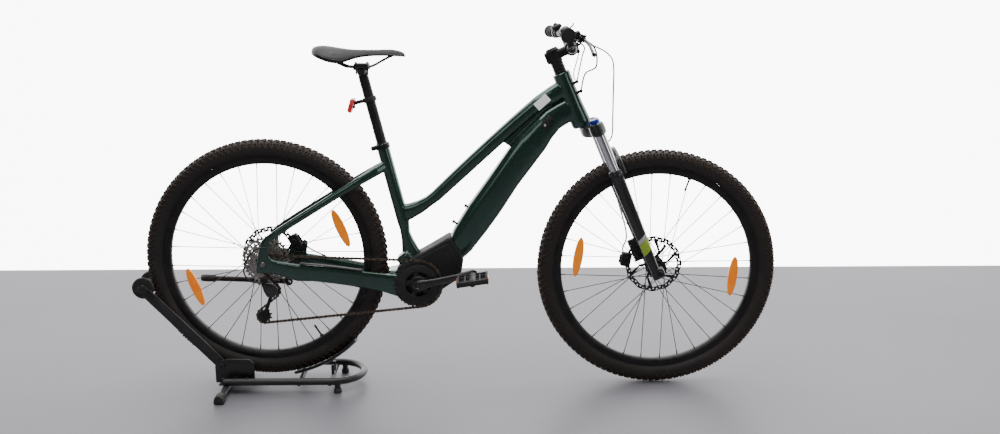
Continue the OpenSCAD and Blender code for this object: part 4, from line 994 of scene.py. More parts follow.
# the four smallest sprockets sit on the barrel, the others on arms
cogs = [toothed("cog", n, rearAxle, driveLook["chainAt"] + 4 * i, 1.7, 16.5 if n < 20 else pitchRadius(n) - 9.5,
                math.radians(3 * i)) for i, n in enumerate(driveLook["cogs"])]
spider = []
for i, n in enumerate(driveLook["cogs"]):
    if n < 20:
        continue
    for k in range(5):
        t = math.radians(72 * k + 8 * i)
        out = ray(t)
        reach = pitchRadius(n) - 8
        spider.append(block("arm", rearAxle + out * (reach + 15) / 2000 + Vector((0,
            driveLook["chainAt"] + 4 * i, 0))
                            / 1000, (reach - 15, 1.7, 6), 0.3,
                            axes=(out, leftward, out.cross(leftward))))
barrel = turned("barrel", [(10.2, -61.4), (15, -61.4), (16, -60), (16, -58.8), (17, -58), (17, -25),
                           (10.2, -25)],
                rearAxle, 40)
settle(joined("cassetteCogs", cogs + spider + [barrel]), "cassette", "sprocketSteel", ("cassette",),
       25)

ring = toothed("chainRing", driveLook["ring"], crankAxle, driveLook["chainAt"], 2.0, 52, 0, 3.0)
guard = turned("guard", [(40, -65.8), (58, -65.8), (61.5, -64.6), (61.5, -63.2), (58, -62.6), (40, -62.6),
                         (38, -64)],
               crankAxle, 72)
spiderArms = []
for k in range(5):
    t = math.radians(72 * k + 30)
    out = ray(t)
    spiderArms.append(block("arm", crankAxle + out * 0.036 + Vector((0, -0.0602, 0)), (44, 4.5, 15), 1.5,
                            axes=(out, leftward, out.cross(leftward)), segments=3))
    spiderArms.append(capBolt(crankAxle + out * 0.0515 + Vector((0, -0.0656, 0)), (0, -1, 0), 4.2, 1.6))
boss = turned("boss", [(13.2, -66), (22, -66), (26, -62), (26, -53), (22, -51.5), (13.2, -51.5)], crankAxle,
              48)
settle(ring, "crank", "discSteel", angle=25)
settle(joined("chainGuard", [guard, boss] + spiderArms), "crank", "blackPlastic", ("chainring",))

crankTurn = math.atan2(*(Vector(joints["pedal_right_spin"]["pos_m"]) - crankAxle).zx)
out = ray(crankTurn)
upward = Vector((-out.z, 0, out.x))


def crankArm(name, side, direction):
    # forged arm: thick at the axle, waisted, thick again at the pedal
    along, over = out * direction, upward
    rows = []
    for x, width, depth, y in ((-15, 12, 10, 77), (-11, 24, 14, 78), (0, 33, 16.5, 79.5), (14, 32, 16, 80),
                               (34, 25, 13.5, 80), (70, 21, 12.5, 80), (120, 20.5, 12.5, 80.3),
                               (150, 23, 13.5, 80.5),
                               (168, 27, 15, 80.5), (178, 25, 14.5, 80.5), (185, 12, 11, 80.5)):
        centre = crankAxle + along * x / 1000 + Vector((0, side * y / 1000, 0))
        rows.append(oval(centre + over * width / 2000, centre - over * width / 2000, depth / 2, 3.4, 20))
    arm = drawnOut(name, rows)
    cap = turned("cap", [(0, side * 84), (9, side * 84), (11, side * 86), (11, side * 88.5),
                         (7, side * 89.4),
                         (5, side * 87), (0, side * 87)], crankAxle, 32)
    axlePart = turned("axlePart", [(0, side * 50), (12.9, side * 50), (12.9, side * 84), (0, side * 84)],
                      crankAxle, 32)
    return joined(name, [arm, cap, axlePart])


settle(joined("crankArms", [crankArm("armRight", -1, 1), crankArm("armLeft", 1, -1)]), "crank",
       "blackGloss", ("cranks",))


def pedalAt(name, part, side):
    # caged platform with traction pins, reflectors and a round core
    low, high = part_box(part)
    centre = Vector(joints[part + "_spin"]["pos_m"])
    outward = low.y if side < 0 else high.y
    inward = high.y if side < 0 else low.y
    middle = Vector((centre.x, (outward + inward) / 2 + side * 0.004, centre.z))
    tilt = math.radians(8)
    ahead, above = ray(tilt), crossRay(tilt)
    flat = leftward
    parts = []

    def bar(x, y, size, bevel=1.6):
        parts.append(block("bar", middle + (ahead * x + flat * y) / 1000, size, bevel, axes=(ahead, flat,
            above)))

    for x in (-43.5, 43.5):
        bar(x, 0, (7, 92, 17))
    for y in (-43, 43):
        bar(0, y, (88, 7, 15))
    for x in (-22, 22):
        bar(x, 0, (5, 84, 11))
    for y in (-20, 20):
        bar(0, y, (86, 5, 11))
    parts.append(turned("core", [(0, -50), (7, -50), (11, -46), (11, 44), (8, 47), (0, 47)], middle, 28))
    parts.append(turned("spindle", [(0, 0), (6.8, 0), (6.8, 16), (9, 17), (9, 22), (0, 22)],
                        Vector((centre.x, side * 0.0885, centre.z)), 24, axis=(0, side, 0)))
    for x in (-43.5, 43.5):
        for y in (-34, -12, 12, 34):
            for s in (-1, 1):
                parts.append(capBolt(middle + (ahead * x + flat * y + above * s * 8.3) / 1000, above * s,
                                     1.8, 1.6,
                                     False))
    cage = joined(name, parts)
    settle(cage, part, "blackPlastic", (part,))
    lenses = [block("lens", middle + (ahead * x * 47.2) / 1000, (2.4, 42, 10), 0.8, axes=(ahead, flat,
        above))
              for x in (-1, 1)]
    settle(joined(name + "Reflectors", lenses), part, "amberLens")


pedalAt("pedalRight", "pedal_right", -1)
pedalAt("pedalLeft", "pedal_left", 1)

# drive unit: one cast shell with a cover, ribs and screws
shellOutline = [nearCrank(x, 0, z) for x, z in [
    (-60, 50), (-20, 76), (10, 92), (34, 106), (66, 125), (97, 143), (128, 96), (139, 72), (132, 34),
    (115, 4),
    (92, -10), (69, -26), (52, -46), (38, -62), (8, -75), (-30, -75), (-62, -52), (-77, -16), (-77, 20)]]
shell = plate("motorShell", shellOutline, -driveLook["motorHalf"], driveLook["motorHalf"], 9, 4)
cover = plate("motorCover", [nearCrank(x, 0, z) for x, z in [
    (-50, 44), (-16, 66), (12, 82), (60, 108), (92, 124), (112, 92), (120, 68), (112, 36), (98, 12),
    (60, -16),
    (40, -48), (6, -66), (-28, -66), (-54, -46), (-67, -14), (-67, 16)]], -49.6, -44, 2.5, 3)
coverLeft = mirroredCopy(cover)
ribs = [block("rib", nearCrank(88 + 6 * k, s * 46.6, 60 - 15 * k), (44 - 7 * k, 3.2, 3), 1.2, (0, 32, 0))
        for k in range(3) for s in (-1, 1)]
screws = [capBolt(nearCrank(x, s * 49.4, z), (0, s, 0), 3.6, 1.6) for s in (-1, 1)
          for x, z in [(-42, 38), (4, 70), (80, 108), (108, 70), (86, 14), (36, -44), (-46, -38)]]
settle(shell, "frame", "motorCast", ("motor",), 40)
settle(joined("motorCovers", [cover, coverLeft] + ribs + screws), "frame", "motorCast", ("motor_cover",),
       40)
print("drive built")


# saddle: a crowned shell drawn out from tail to nose, with a pressure channel sunk along its middle
saddleLook = {"seat": 727, "channel": (-96, 92, 4.5, 9.0), "rail": 3.6, "postWall": 15.4}
saddleAt = onSeat(0, 0, saddleLook["seat"])


def saddleRing(x, wide, top, low, inset=0.0):
    # upper half from side to side, then the hollow underside back
    wide = wide - inset
    start, end, deep, half = saddleLook["channel"]
    ring = []
    for k in range(21):
        y = wide * math.sin(math.pi * (k / 20 - 0.5))
        share = abs(y) / wide
        z = top - inset - (top - low) * 0.62 * share ** 3.2
        if start < x < end:
            fade = min(1.0, (x - start) / 30, (end - x) / 30)
            z -= deep * fade * math.exp(-(y / half) ** 2)
        ring.append(saddleAt + Vector((x, y, z)) / 1000)
    for k in range(19, 0, -1):
        y = (wide - 1.4) * math.sin(math.pi * (k / 20 - 0.5))
        share = abs(y) / wide
        hollow = min(top - 12, -13)
        ring.append(saddleAt + Vector((x, y, hollow + (low - hollow) * share ** 4)) / 1000)
    return ring


padStations = [(-128, 24, 1, -12), (-125, 42, 5.5, -15), (-116, 60, 9, -22), (-100, 69.5, 11.5, -30),
               (-80, 71.5, 9.5, -40), (-60, 67, 6.2, -46), (-40, 55, 3.2, -48), (-20, 44, 1, -40),
               (0, 35, 0, -31),
               (30, 26, 0, -25), (60, 22.5, 0.3, -22.5), (90, 20.5, 0.2, -23), (112, 19, -1.4, -24.5),
               (130, 17, -5, -24.5), (140, 13.5, -9.5, -23), (146, 6, -14, -19.5)]
pad = drawnOut("saddlePad", [saddleRing(*s) for s in padStations])
finishWith(pad, "SUBSURF", levels=1, render_levels=1)
settle(pad, "seat", "saddleCover", ("saddle_pad",), 60)
piping = bothSides("saddlePiping", pipe("saddlePiping", [
    saddleAt + Vector((x, w * 0.985, top - (top - low) * 0.66)) / 1000 for x, w, top,
    low in padStations[1:-1]],
    1.3, 3, 2))
settle(piping, "seat", "saddleSide")
shell = drawnOut("saddleShell", [
    [saddleAt + Vector((x, y * (w - 9), z)) / 1000 for y, z in (
        (-1, -13.5), (-0.5, -12.6), (0.5, -12.6), (1, -13.5), (1, -16), (0.5, -17), (-0.5, -17), (-1, -16))]
    for x, w, top, low in padStations[2:-1]])
railLine = [(106, 4, -19), (92, 12, -26), (70, 19, -38), (44, 22, -50.5), (10, 22, -51.5), (-24, 22, -51),
            (-50, 25, -40), (-70, 30, -28), (-94, 34, -17)]
rails = bothSides("rail", pipe("rail", [saddleAt + Vector(p) / 1000 for p in railLine], saddleLook["rail"],
                               5, 3))
nose = turned("nose", [(0, -11), (5.5, -11), (5.5, 11), (0, 11)], saddleAt + Vector((103, 0, -20)) / 1000,
              16)
frameBits = joined("saddleFrame", [shell, nose])
rounded(frameBits, 0.8, 2)
settle(frameBits, "seat", "blackPlastic", ("saddle_frame",))
settle(rails, "seat", "blackGloss", name="saddleRails")

# seatpost with a two-bolt head
postTop = saddleLook["seat"] - 66
post = turned("seatpost", [(12.6, 307), (saddleLook["postWall"], 307), (saddleLook["postWall"],
    postTop - 22),
                           (14.2, postTop - 12), (13, postTop - 2), (12.6, postTop - 2)], onSeat(0, 0,
                               0), 48,
              **seatLine)
lip = turned("lip", [(15.4, 437), (16.6, 437), (16.6, 440), (15.4, 440.6)], onSeat(0, 0, 0), 48, **seatLine)
clampAt = onSeat(0, 0, postTop)
cradleLow = block("cradleLow", clampAt + Vector((0, 0, 0.0085)), (46, 54, 11), 3, segments=3)
cradleHigh = block("cradleHigh", clampAt + Vector((0, 0, 0.0185)), (42, 58, 7.5), 2.6, segments=3)
core = turned("core", [(0, -27), (11, -27), (13, -24), (13, 24), (11, 27), (0, 27)], clampAt, 32)
clampBolts = [capBolt(clampAt + Vector((x, 0, 22)) / 1000, (0.1 * s, 0, 1), 4.2, 4)
              for x, s in ((-17, -1), (17, 1))]
stalks = [pipe("stalk", [clampAt + Vector((x, 0, -12)) / 1000, clampAt + Vector((x, 0, 22)) / 1000], 2.4, 1)
          for x in (-17, 17)]
settle(joined("seatpost", [post, lip, core, cradleLow, cradleHigh] + stalks), "seat", "blackAnodised",
       ("seatpost",))
settle(joined("clampBolts", clampBolts), "seat", "chrome")

# collar with its cross bolt behind the tube
collar = turned("seatCollar", [(17.6, 421), (21.4, 421), (22.1, 422), (22.1, 435), (21.4, 436),
                               (17.6, 436)],
                onSeat(0, 0, 0), 48, **seatLine)
ears = [block("ear", onSeat(-27, s * 6, 428.5), (17, 7, 13), 2, axes=seatAxes) for s in (-1, 1)]
crossBolt = turned("crossBolt", [(0, -16.5), (4.4, -16.5), (4.4, -12), (2.6, -12), (2.6, 12), (4.4, 12),
                                 (4.4, 15),
                                 (0, 15)], onSeat(-28.6, 0, 428.5), 20)
settle(joined("seatCollar", [collar] + ears + [crossBolt]), "frame", "blackAnodised", ("seat_collar",))

# red reflector on its band round the post
lampAt = 574
band = turned("lampBand", [(15.5, lampAt - 7), (19.4, lampAt - 7), (20.2, lampAt - 6), (20.2, lampAt + 6),
                           (19.4, lampAt + 7), (15.5, lampAt + 7)], onSeat(0, 0, 0), 36, **seatLine)
arm = block("lampArm", onSeat(-36, 0, lampAt), (34, 9, 11), 2.4, axes=seatAxes)
neck = block("lampNeck", onSeat(-52, 0, lampAt - 4), (9, 13, 22), 2.4, axes=seatAxes)
tilt = math.radians(17)
lensAxes = (Vector((math.cos(tilt), 0, -math.sin(tilt))), leftward,
            Vector((math.sin(tilt), 0, math.cos(tilt))))
lensAt = onSeat(0, 0, lampAt) + Vector((-54.5, 0, -18)) / 1000
case = block("lampCase", lensAt + lensAxes[0] * 0.0015, (10, 48, 42), 2.4, axes=lensAxes, segments=3)
glass = block("lampLens", lensAt - lensAxes[0] * 0.0032, (7.5, 45, 39), 2.2, axes=lensAxes, segments=3)
lampBolt = capBolt(onSeat(-30, -4.6, lampAt), (0, -1, 0), 2.8, 2.2)
settle(joined("lampBracket", [band, arm, neck, lampBolt]), "seat", "blackPlastic")
settle(joined("tailReflector", [glass, case]), "seat", "redLens", ("tail_reflector",))
print("saddle, post and collar built")


# fork: how far its legs stand ahead of the steering axis and to each side
forkLook = {"leg": 34, "gap": 65}


def onLeg(name, profile, side, steps=40):
    return turned(name, profile, onFork(forkLook["leg"], side * forkLook["gap"], 0), steps, **steerLine)


tubes = [onLeg("stanchion", [(13, 230), (16, 230), (16, 499), (13, 499)], s) for s in (-1, 1)]
settle(joined("stanchions", tubes), "steering", "chrome", ("stanchions",))
lowers = []
for s in (-1, 1):
    lowers.append(onLeg("lower", [(0, -16), (9, -16), (12.6, -12), (13, 8), (14.6, 24), (15.6, 60),
                                  (17.6, 160),
                                  (19.4, 270), (20.3, 318), (21.6, 322), (22, 326), (22, 334),
                                  (20.5, 338.6),
                                  (17.5, 339.4), (16.3, 339.4), (16.3, 130), (0, 130)], s, 48))
    lowers.append(onLeg("seal", [(16.1, 337), (20, 337), (20.6, 340), (19.6, 345), (17.6, 347),
                                 (16.1, 347)], s))
    lowers.append(block("tip", onFork(40, s * 65, -2), (40, 21, 34), 7, axes=forkAxes, segments=3))
    eye = turned("axleEye", [(7.5, 54), (15, 54), (16, 56), (16, 75), (14, 78), (7.5, 78)],
                 Vector((0, 0, 0)), 32)
    lowers.append(eye)
    if s < 0:
        eye.data.transform(Matrix.Rotation(math.pi, 4, "Z"))
    eye.data.transform(Matrix.Translation(onFork(44, 0, 0)))
arch = []
for k in range(17):
    t = math.pi * (k / 16)
    y = -59 * math.cos(t)
    up = 326 + 68 * math.sin(t) ** 0.75
    deep = 13 - 3.5 * math.sin(t)
    middle = onFork(58.5, y, up)
    outward = (Vector((0, -math.cos(t), 0)) + steerUp * math.sin(t)).normalized()
    ring = []
    for j in range(16):
        c, q = math.cos(2 * math.pi * j / 16), math.sin(2 * math.pi * j / 16)
        c, q = [math.copysign(abs(a) ** 0.6, a) for a in (c, q)]
        ring.append(middle + (outward * c * deep + steerAhead * q * 8.5) / 1000)
    arch.append(ring)
lowers.append(drawnOut("arch", arch))
lowers.append(block("brakeMount", onFork(8, 55, 62), (26, 14, 74), 3, axes=forkAxes))
settle(joined("forkLowers", lowers), "fork_lower", "forkBlack", ("fork_lowers",))
for name, low, high in (("limeStripe", 74, 112), ("paleStripe", 112.6, 126)):
    rows = []
    for t in (low, high):
        r = 15.6 + (t - 60) * 0.02 + 0.25
        rows.append([onFork(34 + r * math.cos(a), -65 + r * math.sin(a), t + 9 * math.cos(a))
                     for a in [math.radians(-150 + 10 * k) for k in range(13)]])
    stripe = drawnOut(name, rows, capped=False)
    finishWith(stripe, "SOLIDIFY", thickness=0.0003, offset=1)
    settle(stripe, "fork_lower", name)
axle = turned("frontAxle", [(0, -84), (7.4, -84), (8.8, -81), (7.4, -78), (7.4, 79), (11, 79), (12, 82),
                            (11, 87),
                            (6, 88), (0, 88)], frontAxle, 32)
lever = pipe("axleLever", [frontAxle + Vector(p) / 1000
                           for p in ((0, 84, 0), (10, 86, 8), (32, 88, 30), (46, 88, 50))],
             4, 5, 3, radii=[1.3, 1.0, 1.1, 1.2])
settle(joined("frontAxle", [axle, lever]), "fork_lower", "blackAnodised", ("front_axle",))

# crown: squared sections from one leg over the steerer to the other
crownRows = []
for k in range(15):
    y = -90 + 180 * k / 14
    a = abs(y)
    reach = 22 if a > 44 else 27
    low, high = (460, 499) if a > 44 else (459 + (44 - a) * 0.12, 500.4)
    centre = 34 if a > 46 else 34 - 20 * (1 - (a / 46) ** 2)
    half = math.sqrt(max(0.0, 1 - (max(0, a - 65) / 25.2) ** 2)) * 22 if a > 65 else 22 + (5 if a < 40 else 2)
    half = max(half, 3)
    ring = []
    for j in range(24):
        c, q = math.cos(2 * math.pi * j / 24), math.sin(2 * math.pi * j / 24)
        c, q = [math.copysign(abs(v) ** 0.42, v) for v in (c, q)]
        ring.append(onFork(centre + half * c, y * 0.965, (low + high) / 2 + (high - low) / 2 * q))
    crownRows.append(ring)
crown = drawnOut("crown", crownRows)
race = turned("race", [(14.4, 498), (24, 498), (26.5, 500), (26.5, 501.2), (14.4, 501.2)], onFork(0, 0, 0),
              40,
              **steerLine)
steererTube = turned("steerer", [(0, 498), (14.2, 498), (14.2, 744), (0, 744)], onFork(0, 0, 0), 32,
                     **steerLine)
plug = onLeg("plug", [(0, 498), (13, 498), (13, 500.5), (9, 502), (0, 502)], 1)
settle(joined("forkCrown", [crown, race, steererTube, plug]), "steering", "forkBlack", ("fork_crown",))
knobAt = [(0, 497.5), (12.6, 497.5), (14, 499), (14, 503), (13, 506), (12.4, 509.5), (9, 510.6), (0, 510.6)]
knobBody = onLeg("lockoutKnob", knobAt, -1)
tab = block("tab", onFork(34 - 10, -65, 505), (19, 7, 6), 2, axes=forkAxes)
settle(joined("lockoutKnob", [knobBody, tab]), "lockout", "lockoutBlue", ("lockout_knob",))


# brake calipers: two cast halves, a bridge, pistons, bridge bolts and a fin
def caliperAt(end, axleAt, body, y, angle, reach):
    a = math.radians(angle)
    out = ray(a)
    along = crossRay(a)
    centre = axleAt + out * reach / 1000 + Vector((0, y, 0)) / 1000
    axes = (out, leftward, along)
    parts = [block("half", centre + (out * 2 + Vector((0, s * 7, 0))) / 1000, (30, 9.5, 44), 3.4, axes=axes,
                   segments=3) for s in (-1, 1)]
    parts.append(block("bridge", centre + out * 0.015, (8, 20, 40), 2.6, axes=axes, segments=3))
    for s in (-1, 1):
        parts.append(turned("piston", [(0, 0), (9, 0), (10, -1.4), (10, -3.4), (0, -3.4)],
                            centre + Vector((0, s * 13.6, 0)) / 1000, 28, axis=(0, s, 0)))
        parts.append(capBolt(centre + (out * 15 + along * s * 13 + Vector((0, 9, 0))) / 1000, (0, 1, 0),
                             3.4, 3))
        parts.append(capBolt(centre + (out * 15 + along * s * 13 + Vector((0, -9, 0))) / 1000, (0, -1, 0),
                             3.4, 3))
    parts.append(block("fins", centre + out * 0.0215, (5, 3, 26), 1, axes=axes))
    settle(joined(end + "Caliper", parts), body, "blackAnodised", (end + "_caliper",))


caliperAt("rear", rearAxle, "frame", 51.1, 29, 84)
caliperAt("front", frontAxle, "fork_lower", 43.2, 170, 86)
rearThrough = turned("rearAxle", [(0, -88), (6, -88), (8.5, -86), (8.5, -83), (5.8, -82), (5.8, 82),
                                  (9, 82), (10, 85),
                                  (8, 89), (0, 89)], rearAxle, 32)
settle(rearThrough, "frame", "brushedSteel", ("rear_axle",))
print("fork and brakes built")


# derailleur: two links on pivots, then its cage with two pulleys
pulleyTeeth = 11
knuckle = [nearRear(x, 0, z) for x, z in
           [(-4, -60), (8, -54), (26, -56), (40, -64), (44, -78), (36, -96), (22, -102), (10, -98),
            (2, -82)]]
outerLink = plate("outerLink", knuckle, -93, -87, 2.6, 3)
innerLink = plate("innerLink", [nearRear(x, 0, z) for x, z in
                                [(2, -62), (34, -62), (40, -76), (34, -94), (14, -96),
                                 (6, -80)]], -84, -80.5, 1.4)
pivots = [capBolt(nearRear(x, -93, z), (0, -1, 0), 3.6, 1.8)
          for x, z in ((6, -64), (34, -68), (14, -92), (34, -90))]
knuckleLow = turned("knuckleLow", [(0, -89), (12, -89), (14, -86), (14, -74), (11, -70.4), (0, -70.4)],
                    Vector((guideAxle.x, 0, guideAxle.z)), 36)
hangerBolt = turned("hangerBolt", [(0, -95), (4, -95), (8, -94), (8.6, -90), (12, -89), (12, -81),
                                   (0, -81)],
                    nearRear(4, 0, -48), 28)
barrelAdjuster = pipe("adjuster", [nearRear(-2, -90, -56), nearRear(-14, -91, -57)], 3.6, 2, 3)
settle(joined("derailleurBody", [outerLink, innerLink, knuckleLow, barrelAdjuster] + pivots), "derailleur",
       "blackGloss", ("derailleur_body",))
settle(hangerBolt, "frame", "blackAnodised")


def cagePlate(y0, y1, waist):
    # long plate between the two pulleys, waisted
    run = tensionAxle - guideAxle
    length = run.length * 1000
    along = run.normalized()
    over = Vector((-along.z, 0, along.x))
    outline = []
    for t, w in ((-11, 5), (-8, 10), (0, 12), (10, 10.5), (length * 0.3, waist), (length * 0.7, waist),
                 (length - 8, 8.5), (length, 9.5), (length + 7, 7), (length + 9.5, 2)):
        outline.append(guideAxle + (along * t + over * w) / 1000)
    for t, w in ((length + 9.5, -2), (length + 7, -7), (length, -9.5), (length - 8, -8.5),
                 (length * 0.7, -waist + 1),
                 (length * 0.3, -waist + 1), (10, -9), (0, -11), (-8, -9), (-11, -5)):
        outline.append(guideAxle + (along * t + over * w) / 1000)
    return plate("cagePlate", outline, y0, y1, 0.6)


cageParts = [cagePlate(-66, -64, 5.5), cagePlate(-52, -50, 4.5)]
for place in (guideAxle, tensionAxle):
    cageParts.append(capBolt(Vector((place.x, -0.066, place.z)), (0, -1, 0), 4.2, 2))
cageParts.append(turned("cageHub", [(0, -69.6), (9, -69.6), (9, -65), (0, -65)],
                        Vector((guideAxle.x, 0, guideAxle.z)),
                        28))
settle(joined("derailleurCage", cageParts), "cage", "blackAnodised", ("derailleur_cage",))
for name, part, place in (("guidePulley", "jockey_upper", guideAxle), ("tensionPulley", "jockey_lower",
    tensionAxle)):
    centre = Vector((place.x, 0, place.z))
    wheel = toothed(name, pulleyTeeth, centre, -58, 2.0, 9, 0, 1.6)
    hubPart = turned("pulleyHub", [(3.2, -61.2), (6, -61.2), (12, -60), (12, -56), (6, -54.8),
                                   (3.2, -54.8)], centre, 24)
    settle(joined(name, [wheel, hubPart]), part, "blackPlastic", (part,), 25)
print("derailleur built")


# cockpit: the bar's clamp height on the steering axis, then its straight outer run from bend to end
barLook = {"clamp": 726, "inner": 115, "outer": 358, "radius": 11.1}


def atBar(y, ahead=0.0, up=0.0):
    # a point beside the swept bar, y from the middle of the bicycle
    f = (abs(y) - barLook["inner"]) / (barLook["outer"] - barLook["inner"])
    return onFork(54 - 17 * f + ahead, y, barLook["clamp"] + 46 + 10 * f + up)


def barWay(side):
    return (atBar(side * barLook["outer"]) - atBar(side * barLook["inner"])).normalized()


def roundBar(name, profile, side, steps=36):
    # turned on the bar's own line, profile measured outward from the bend
    return turned(name, profile, atBar(side * barLook["inner"]), steps, axis=barWay(side), ahead=steerAhead)


spacers = [turned("spacer", [(14.4, low), (18.2, low), (18.5, low + 0.6), (18.5, high - 0.6), (18.2, high),
                             (14.4, high)],
                  onFork(0, 0, 0), 40, **steerLine)
           for low, high in ((671.8, 679.6), (679.9, 689.8), (690.1, 704.8))]
body = turned("stemBody", [(14.4, 705), (19, 705), (20, 706.4), (20, 743.6), (19, 745), (14.4, 745)],
              onFork(0, 0, 0), 44,
              **steerLine)
cap = turned("topCap", [(0, 745), (17.6, 745), (18, 746), (17, 749), (6, 749.6), (5, 747.6), (0, 747.6)],
             onFork(0, 0, 0), 40, **steerLine)
neckRows = []
for p, low, high, half in ((4, 709, 742, 15), (14, 710, 741, 15.5), (26, 712, 740, 14), (38, 712, 740, 14),
                           (47, 709, 742, 17)):
    neckRows.append(oval(onFork(p, 0, high), onFork(p, 0, low), half, 3.2, 24))
neckPart = drawnOut("stemNeck", neckRows)
clampHalf = turned("barClamp", [(15.9, -24), (20.2, -24), (21, -23), (21, 23), (20.2, 24), (15.9, 24)],
                   onFork(55, 0, 726), 40)
faceBolts = [capBolt(onFork(73, y, 726 + dz), steerAhead, 3.1, 3) for y in (-17, 17) for dz in (-15, 15)]
pinchBolts = [capBolt(onFork(-21, -11, 705 + k), (0, -1, 0), 3.4, 3) for k in (8, 30)]
pinch = block("pinch", onFork(-20, 0, 725), (13, 22, 34), 3.5, axes=forkAxes, segments=3)
faceCap = block("faceCap", onFork(70.5, 0, 726), (11, 46, 42), 4, axes=forkAxes, segments=3)
settle(joined("stem", spacers + [body, cap, neckPart, clampHalf, faceCap, pinch] + faceBolts + pinchBolts),
       "steering",
       "blackAnodised", ("stem",))

barPoints = [onFork(55, 0, 726), onFork(55, 36, 726), onFork(55, 56, 727), onFork(55.5, 72, 737),
             onFork(55, 92, 757), atBar(115), atBar(180), atBar(354)]
halfBar = pipe("handlebar", barPoints, barLook["radius"], 6, 5,
               radii=[1.43, 1.43, 1.25, 1.04, 1.0, 1.0, 1.0, 1.0])
settle(bothSides("handlebar", halfBar), "steering", "blackAnodised", ("handlebar",))

gripParts = []
for s in (-1, 1):
    start = 238 - 115
    rings = [(11.25, start), (18.4, start), (18.8, start + 1), (18.4, start + 6), (16.2, start + 6.6)]
    for k in range(24):
        a = start + 8 + k * 4.0
        rings += [(15.6, a), (16.7, a + 0.9), (16.7, a + 2.5), (15.6, a + 3.3)]
    rings += [(19.2, start + 106), (20, start + 109), (20, start + 118), (18.6, start + 120),
              (0, start + 120),
              (0, start + 116.4), (11.25, start + 116.4)]
    gripParts.append(roundBar("grip", rings, s, 40))
settle(joined("grips", gripParts), "steering", "gripRubber", ("grips",), 30)


def pivotAt(side):
    return atBar(side * 205, 34, -27)


leverAxis = steerAhead * 0.866 + steerUp * 0.5
brakeParts = []
for s in (-1, 1):
    brakeParts.append(roundBar("clampRing", [(11.2, 90), (16.4, 90), (17, 91), (17, 103), (16.4, 104),
                                             (11.2, 104)], s))
    brakeParts.append(pipe("master", [atBar(s * 226, 22, -16), atBar(s * 200, 23, -17), atBar(s * 180, 24,
        -18)], 9,
                           4, 4, radii=[0.8, 1.0, 1.05, 0.95, 0.7]))
    brakeParts.append(block("reservoir", atBar(s * 203, 24, -7), (19, 44, 12), 3.6,
                            axes=(steerAhead, barWay(s), steerUp), segments=3))
    brakeParts.append(block("lid", atBar(s * 203, 24, -0.4), (16, 40, 2.4), 1, axes=(steerAhead, barWay(s),
        steerUp)))
    brakeParts += [capBolt(atBar(s * (203 + 15 * k), 24, 0.6), steerUp, 1.8, 1) for k in (-1, 1)]
    brakeParts.append(pipe("joint", [atBar(s * 212, 4, -6), atBar(s * 212, 22, -16)], 8, 1, 4))
    brakeParts.append(pipe("banjo", [atBar(s * 190, 24, -18), atBar(s * 176, 28, -19)], 4.6, 1, 3))
    hinge = pivotAt(s)
    for k in (-1, 1):
        brakeParts.append(pipe("ear", [hinge + leverAxis * k * 0.0094, atBar(s * 205, 22,
            -16) + leverAxis * k * 0.008],
                               4.5, 1, 3))
    brakeParts.append(pipe("pin", [hinge - leverAxis * 0.011, hinge + leverAxis * 0.011], 2.5, 1, 3))
    brakeParts.append(capBolt(hinge + leverAxis * 0.011, leverAxis, 3.4, 1.4))
settle(joined("brakeBodies", brakeParts), "steering", "blackGloss", ("brake_bodies",))
for s, part, ridesOn in ((-1, "brake_lever_right", "brake_right"), (1, "brake_lever_left", "brake_left")):
    hinge = pivotAt(s)
    tip = atBar(s * 306, 44, -74)
    middle = hinge + (steerAhead * 3 - steerUp * 8) / 1000 + Vector((0, s * 0.034, 0))
    blade = pipe("blade", [hinge, middle, middle.lerp(tip, 0.3) + steerAhead * 0.002,
                           middle.lerp(tip, 0.62) + steerAhead * 0.001, tip - Vector((0, s * 0.012, 0)),
                           tip], 4.4, 6, 4,
                 radii=[1.1, 1.25, 1.0, 0.95, 0.95, 1.05, 1.35, 1.2])
    knuckle = turned("knuckle", [(2.6, -7), (7, -7), (7, 7), (2.6, 7)], hinge, 24, axis=leverAxis,
                     ahead=leftward)
    ringOut = turned("ring", [(4.6, -2), (7.2, -2), (7.8, 0), (7.2, 2), (4.6, 2)],
                     tip - Vector((0, s * 0.008, 0)), 24,
                     axis=steerAhead, ahead=leftward)
    settle(joined(part.replace("_", "") + "Blade", [blade, knuckle, ringOut]), ridesOn, "blackGloss",
           (part,))

# shifter under the right side, with its window and two-way lever
hub = atBar(-148, 16, -30)
pod = [block("pod", atBar(-148, 17, -18), (30, 32, 16), 5, axes=(steerAhead, barWay(-1), steerUp),
             segments=3),
       roundBar("shiftClamp", [(11.2, 35), (15, 35), (15.5, 36), (15.5, 46), (15, 47), (11.2, 47)], -1),
       block("window", atBar(-150, 19, -8.6), (22, 24, 3.4), 1.4, axes=(steerAhead, barWay(-1), steerUp)),
       pipe("hubPin", [hub - steerUp * 0.011, hub + steerUp * 0.001], 2.5, 1, 3),
       pipe("barrel", [atBar(-134, 16, -17), atBar(-124, 18, -18)], 4, 1, 3)]
settle(joined("shifter", pod), "steering", "blackPlastic", ("shifter",))
swing = math.radians(130)
aim = steerAhead * math.cos(swing) + Vector((0, -1, 0)) * math.sin(swing)
paddleLow = hub - steerUp * 0.0066
paddle = [turned("boss", [(2.8, -9), (8.6, -9), (9, -8.4), (9, -5), (8.6, -4.4), (2.8, -4.4)], hub, 24,
                 **steerLine),
          pipe("paddle", [paddleLow + aim * 0.006, paddleLow + aim * 0.022, paddleLow + aim * 0.042], 3.6,
               4, 3,
               radii=[1.0, 1.0, 1.25]),
          block("thumb", paddleLow + aim * 0.042, (15, 19, 5.5), 2.4, axes=(aim, aim.cross(steerUp),
              steerUp),
                segments=3)]
settle(joined("shiftLever", paddle), "shift", "blackPlastic", ("shift_lever",))

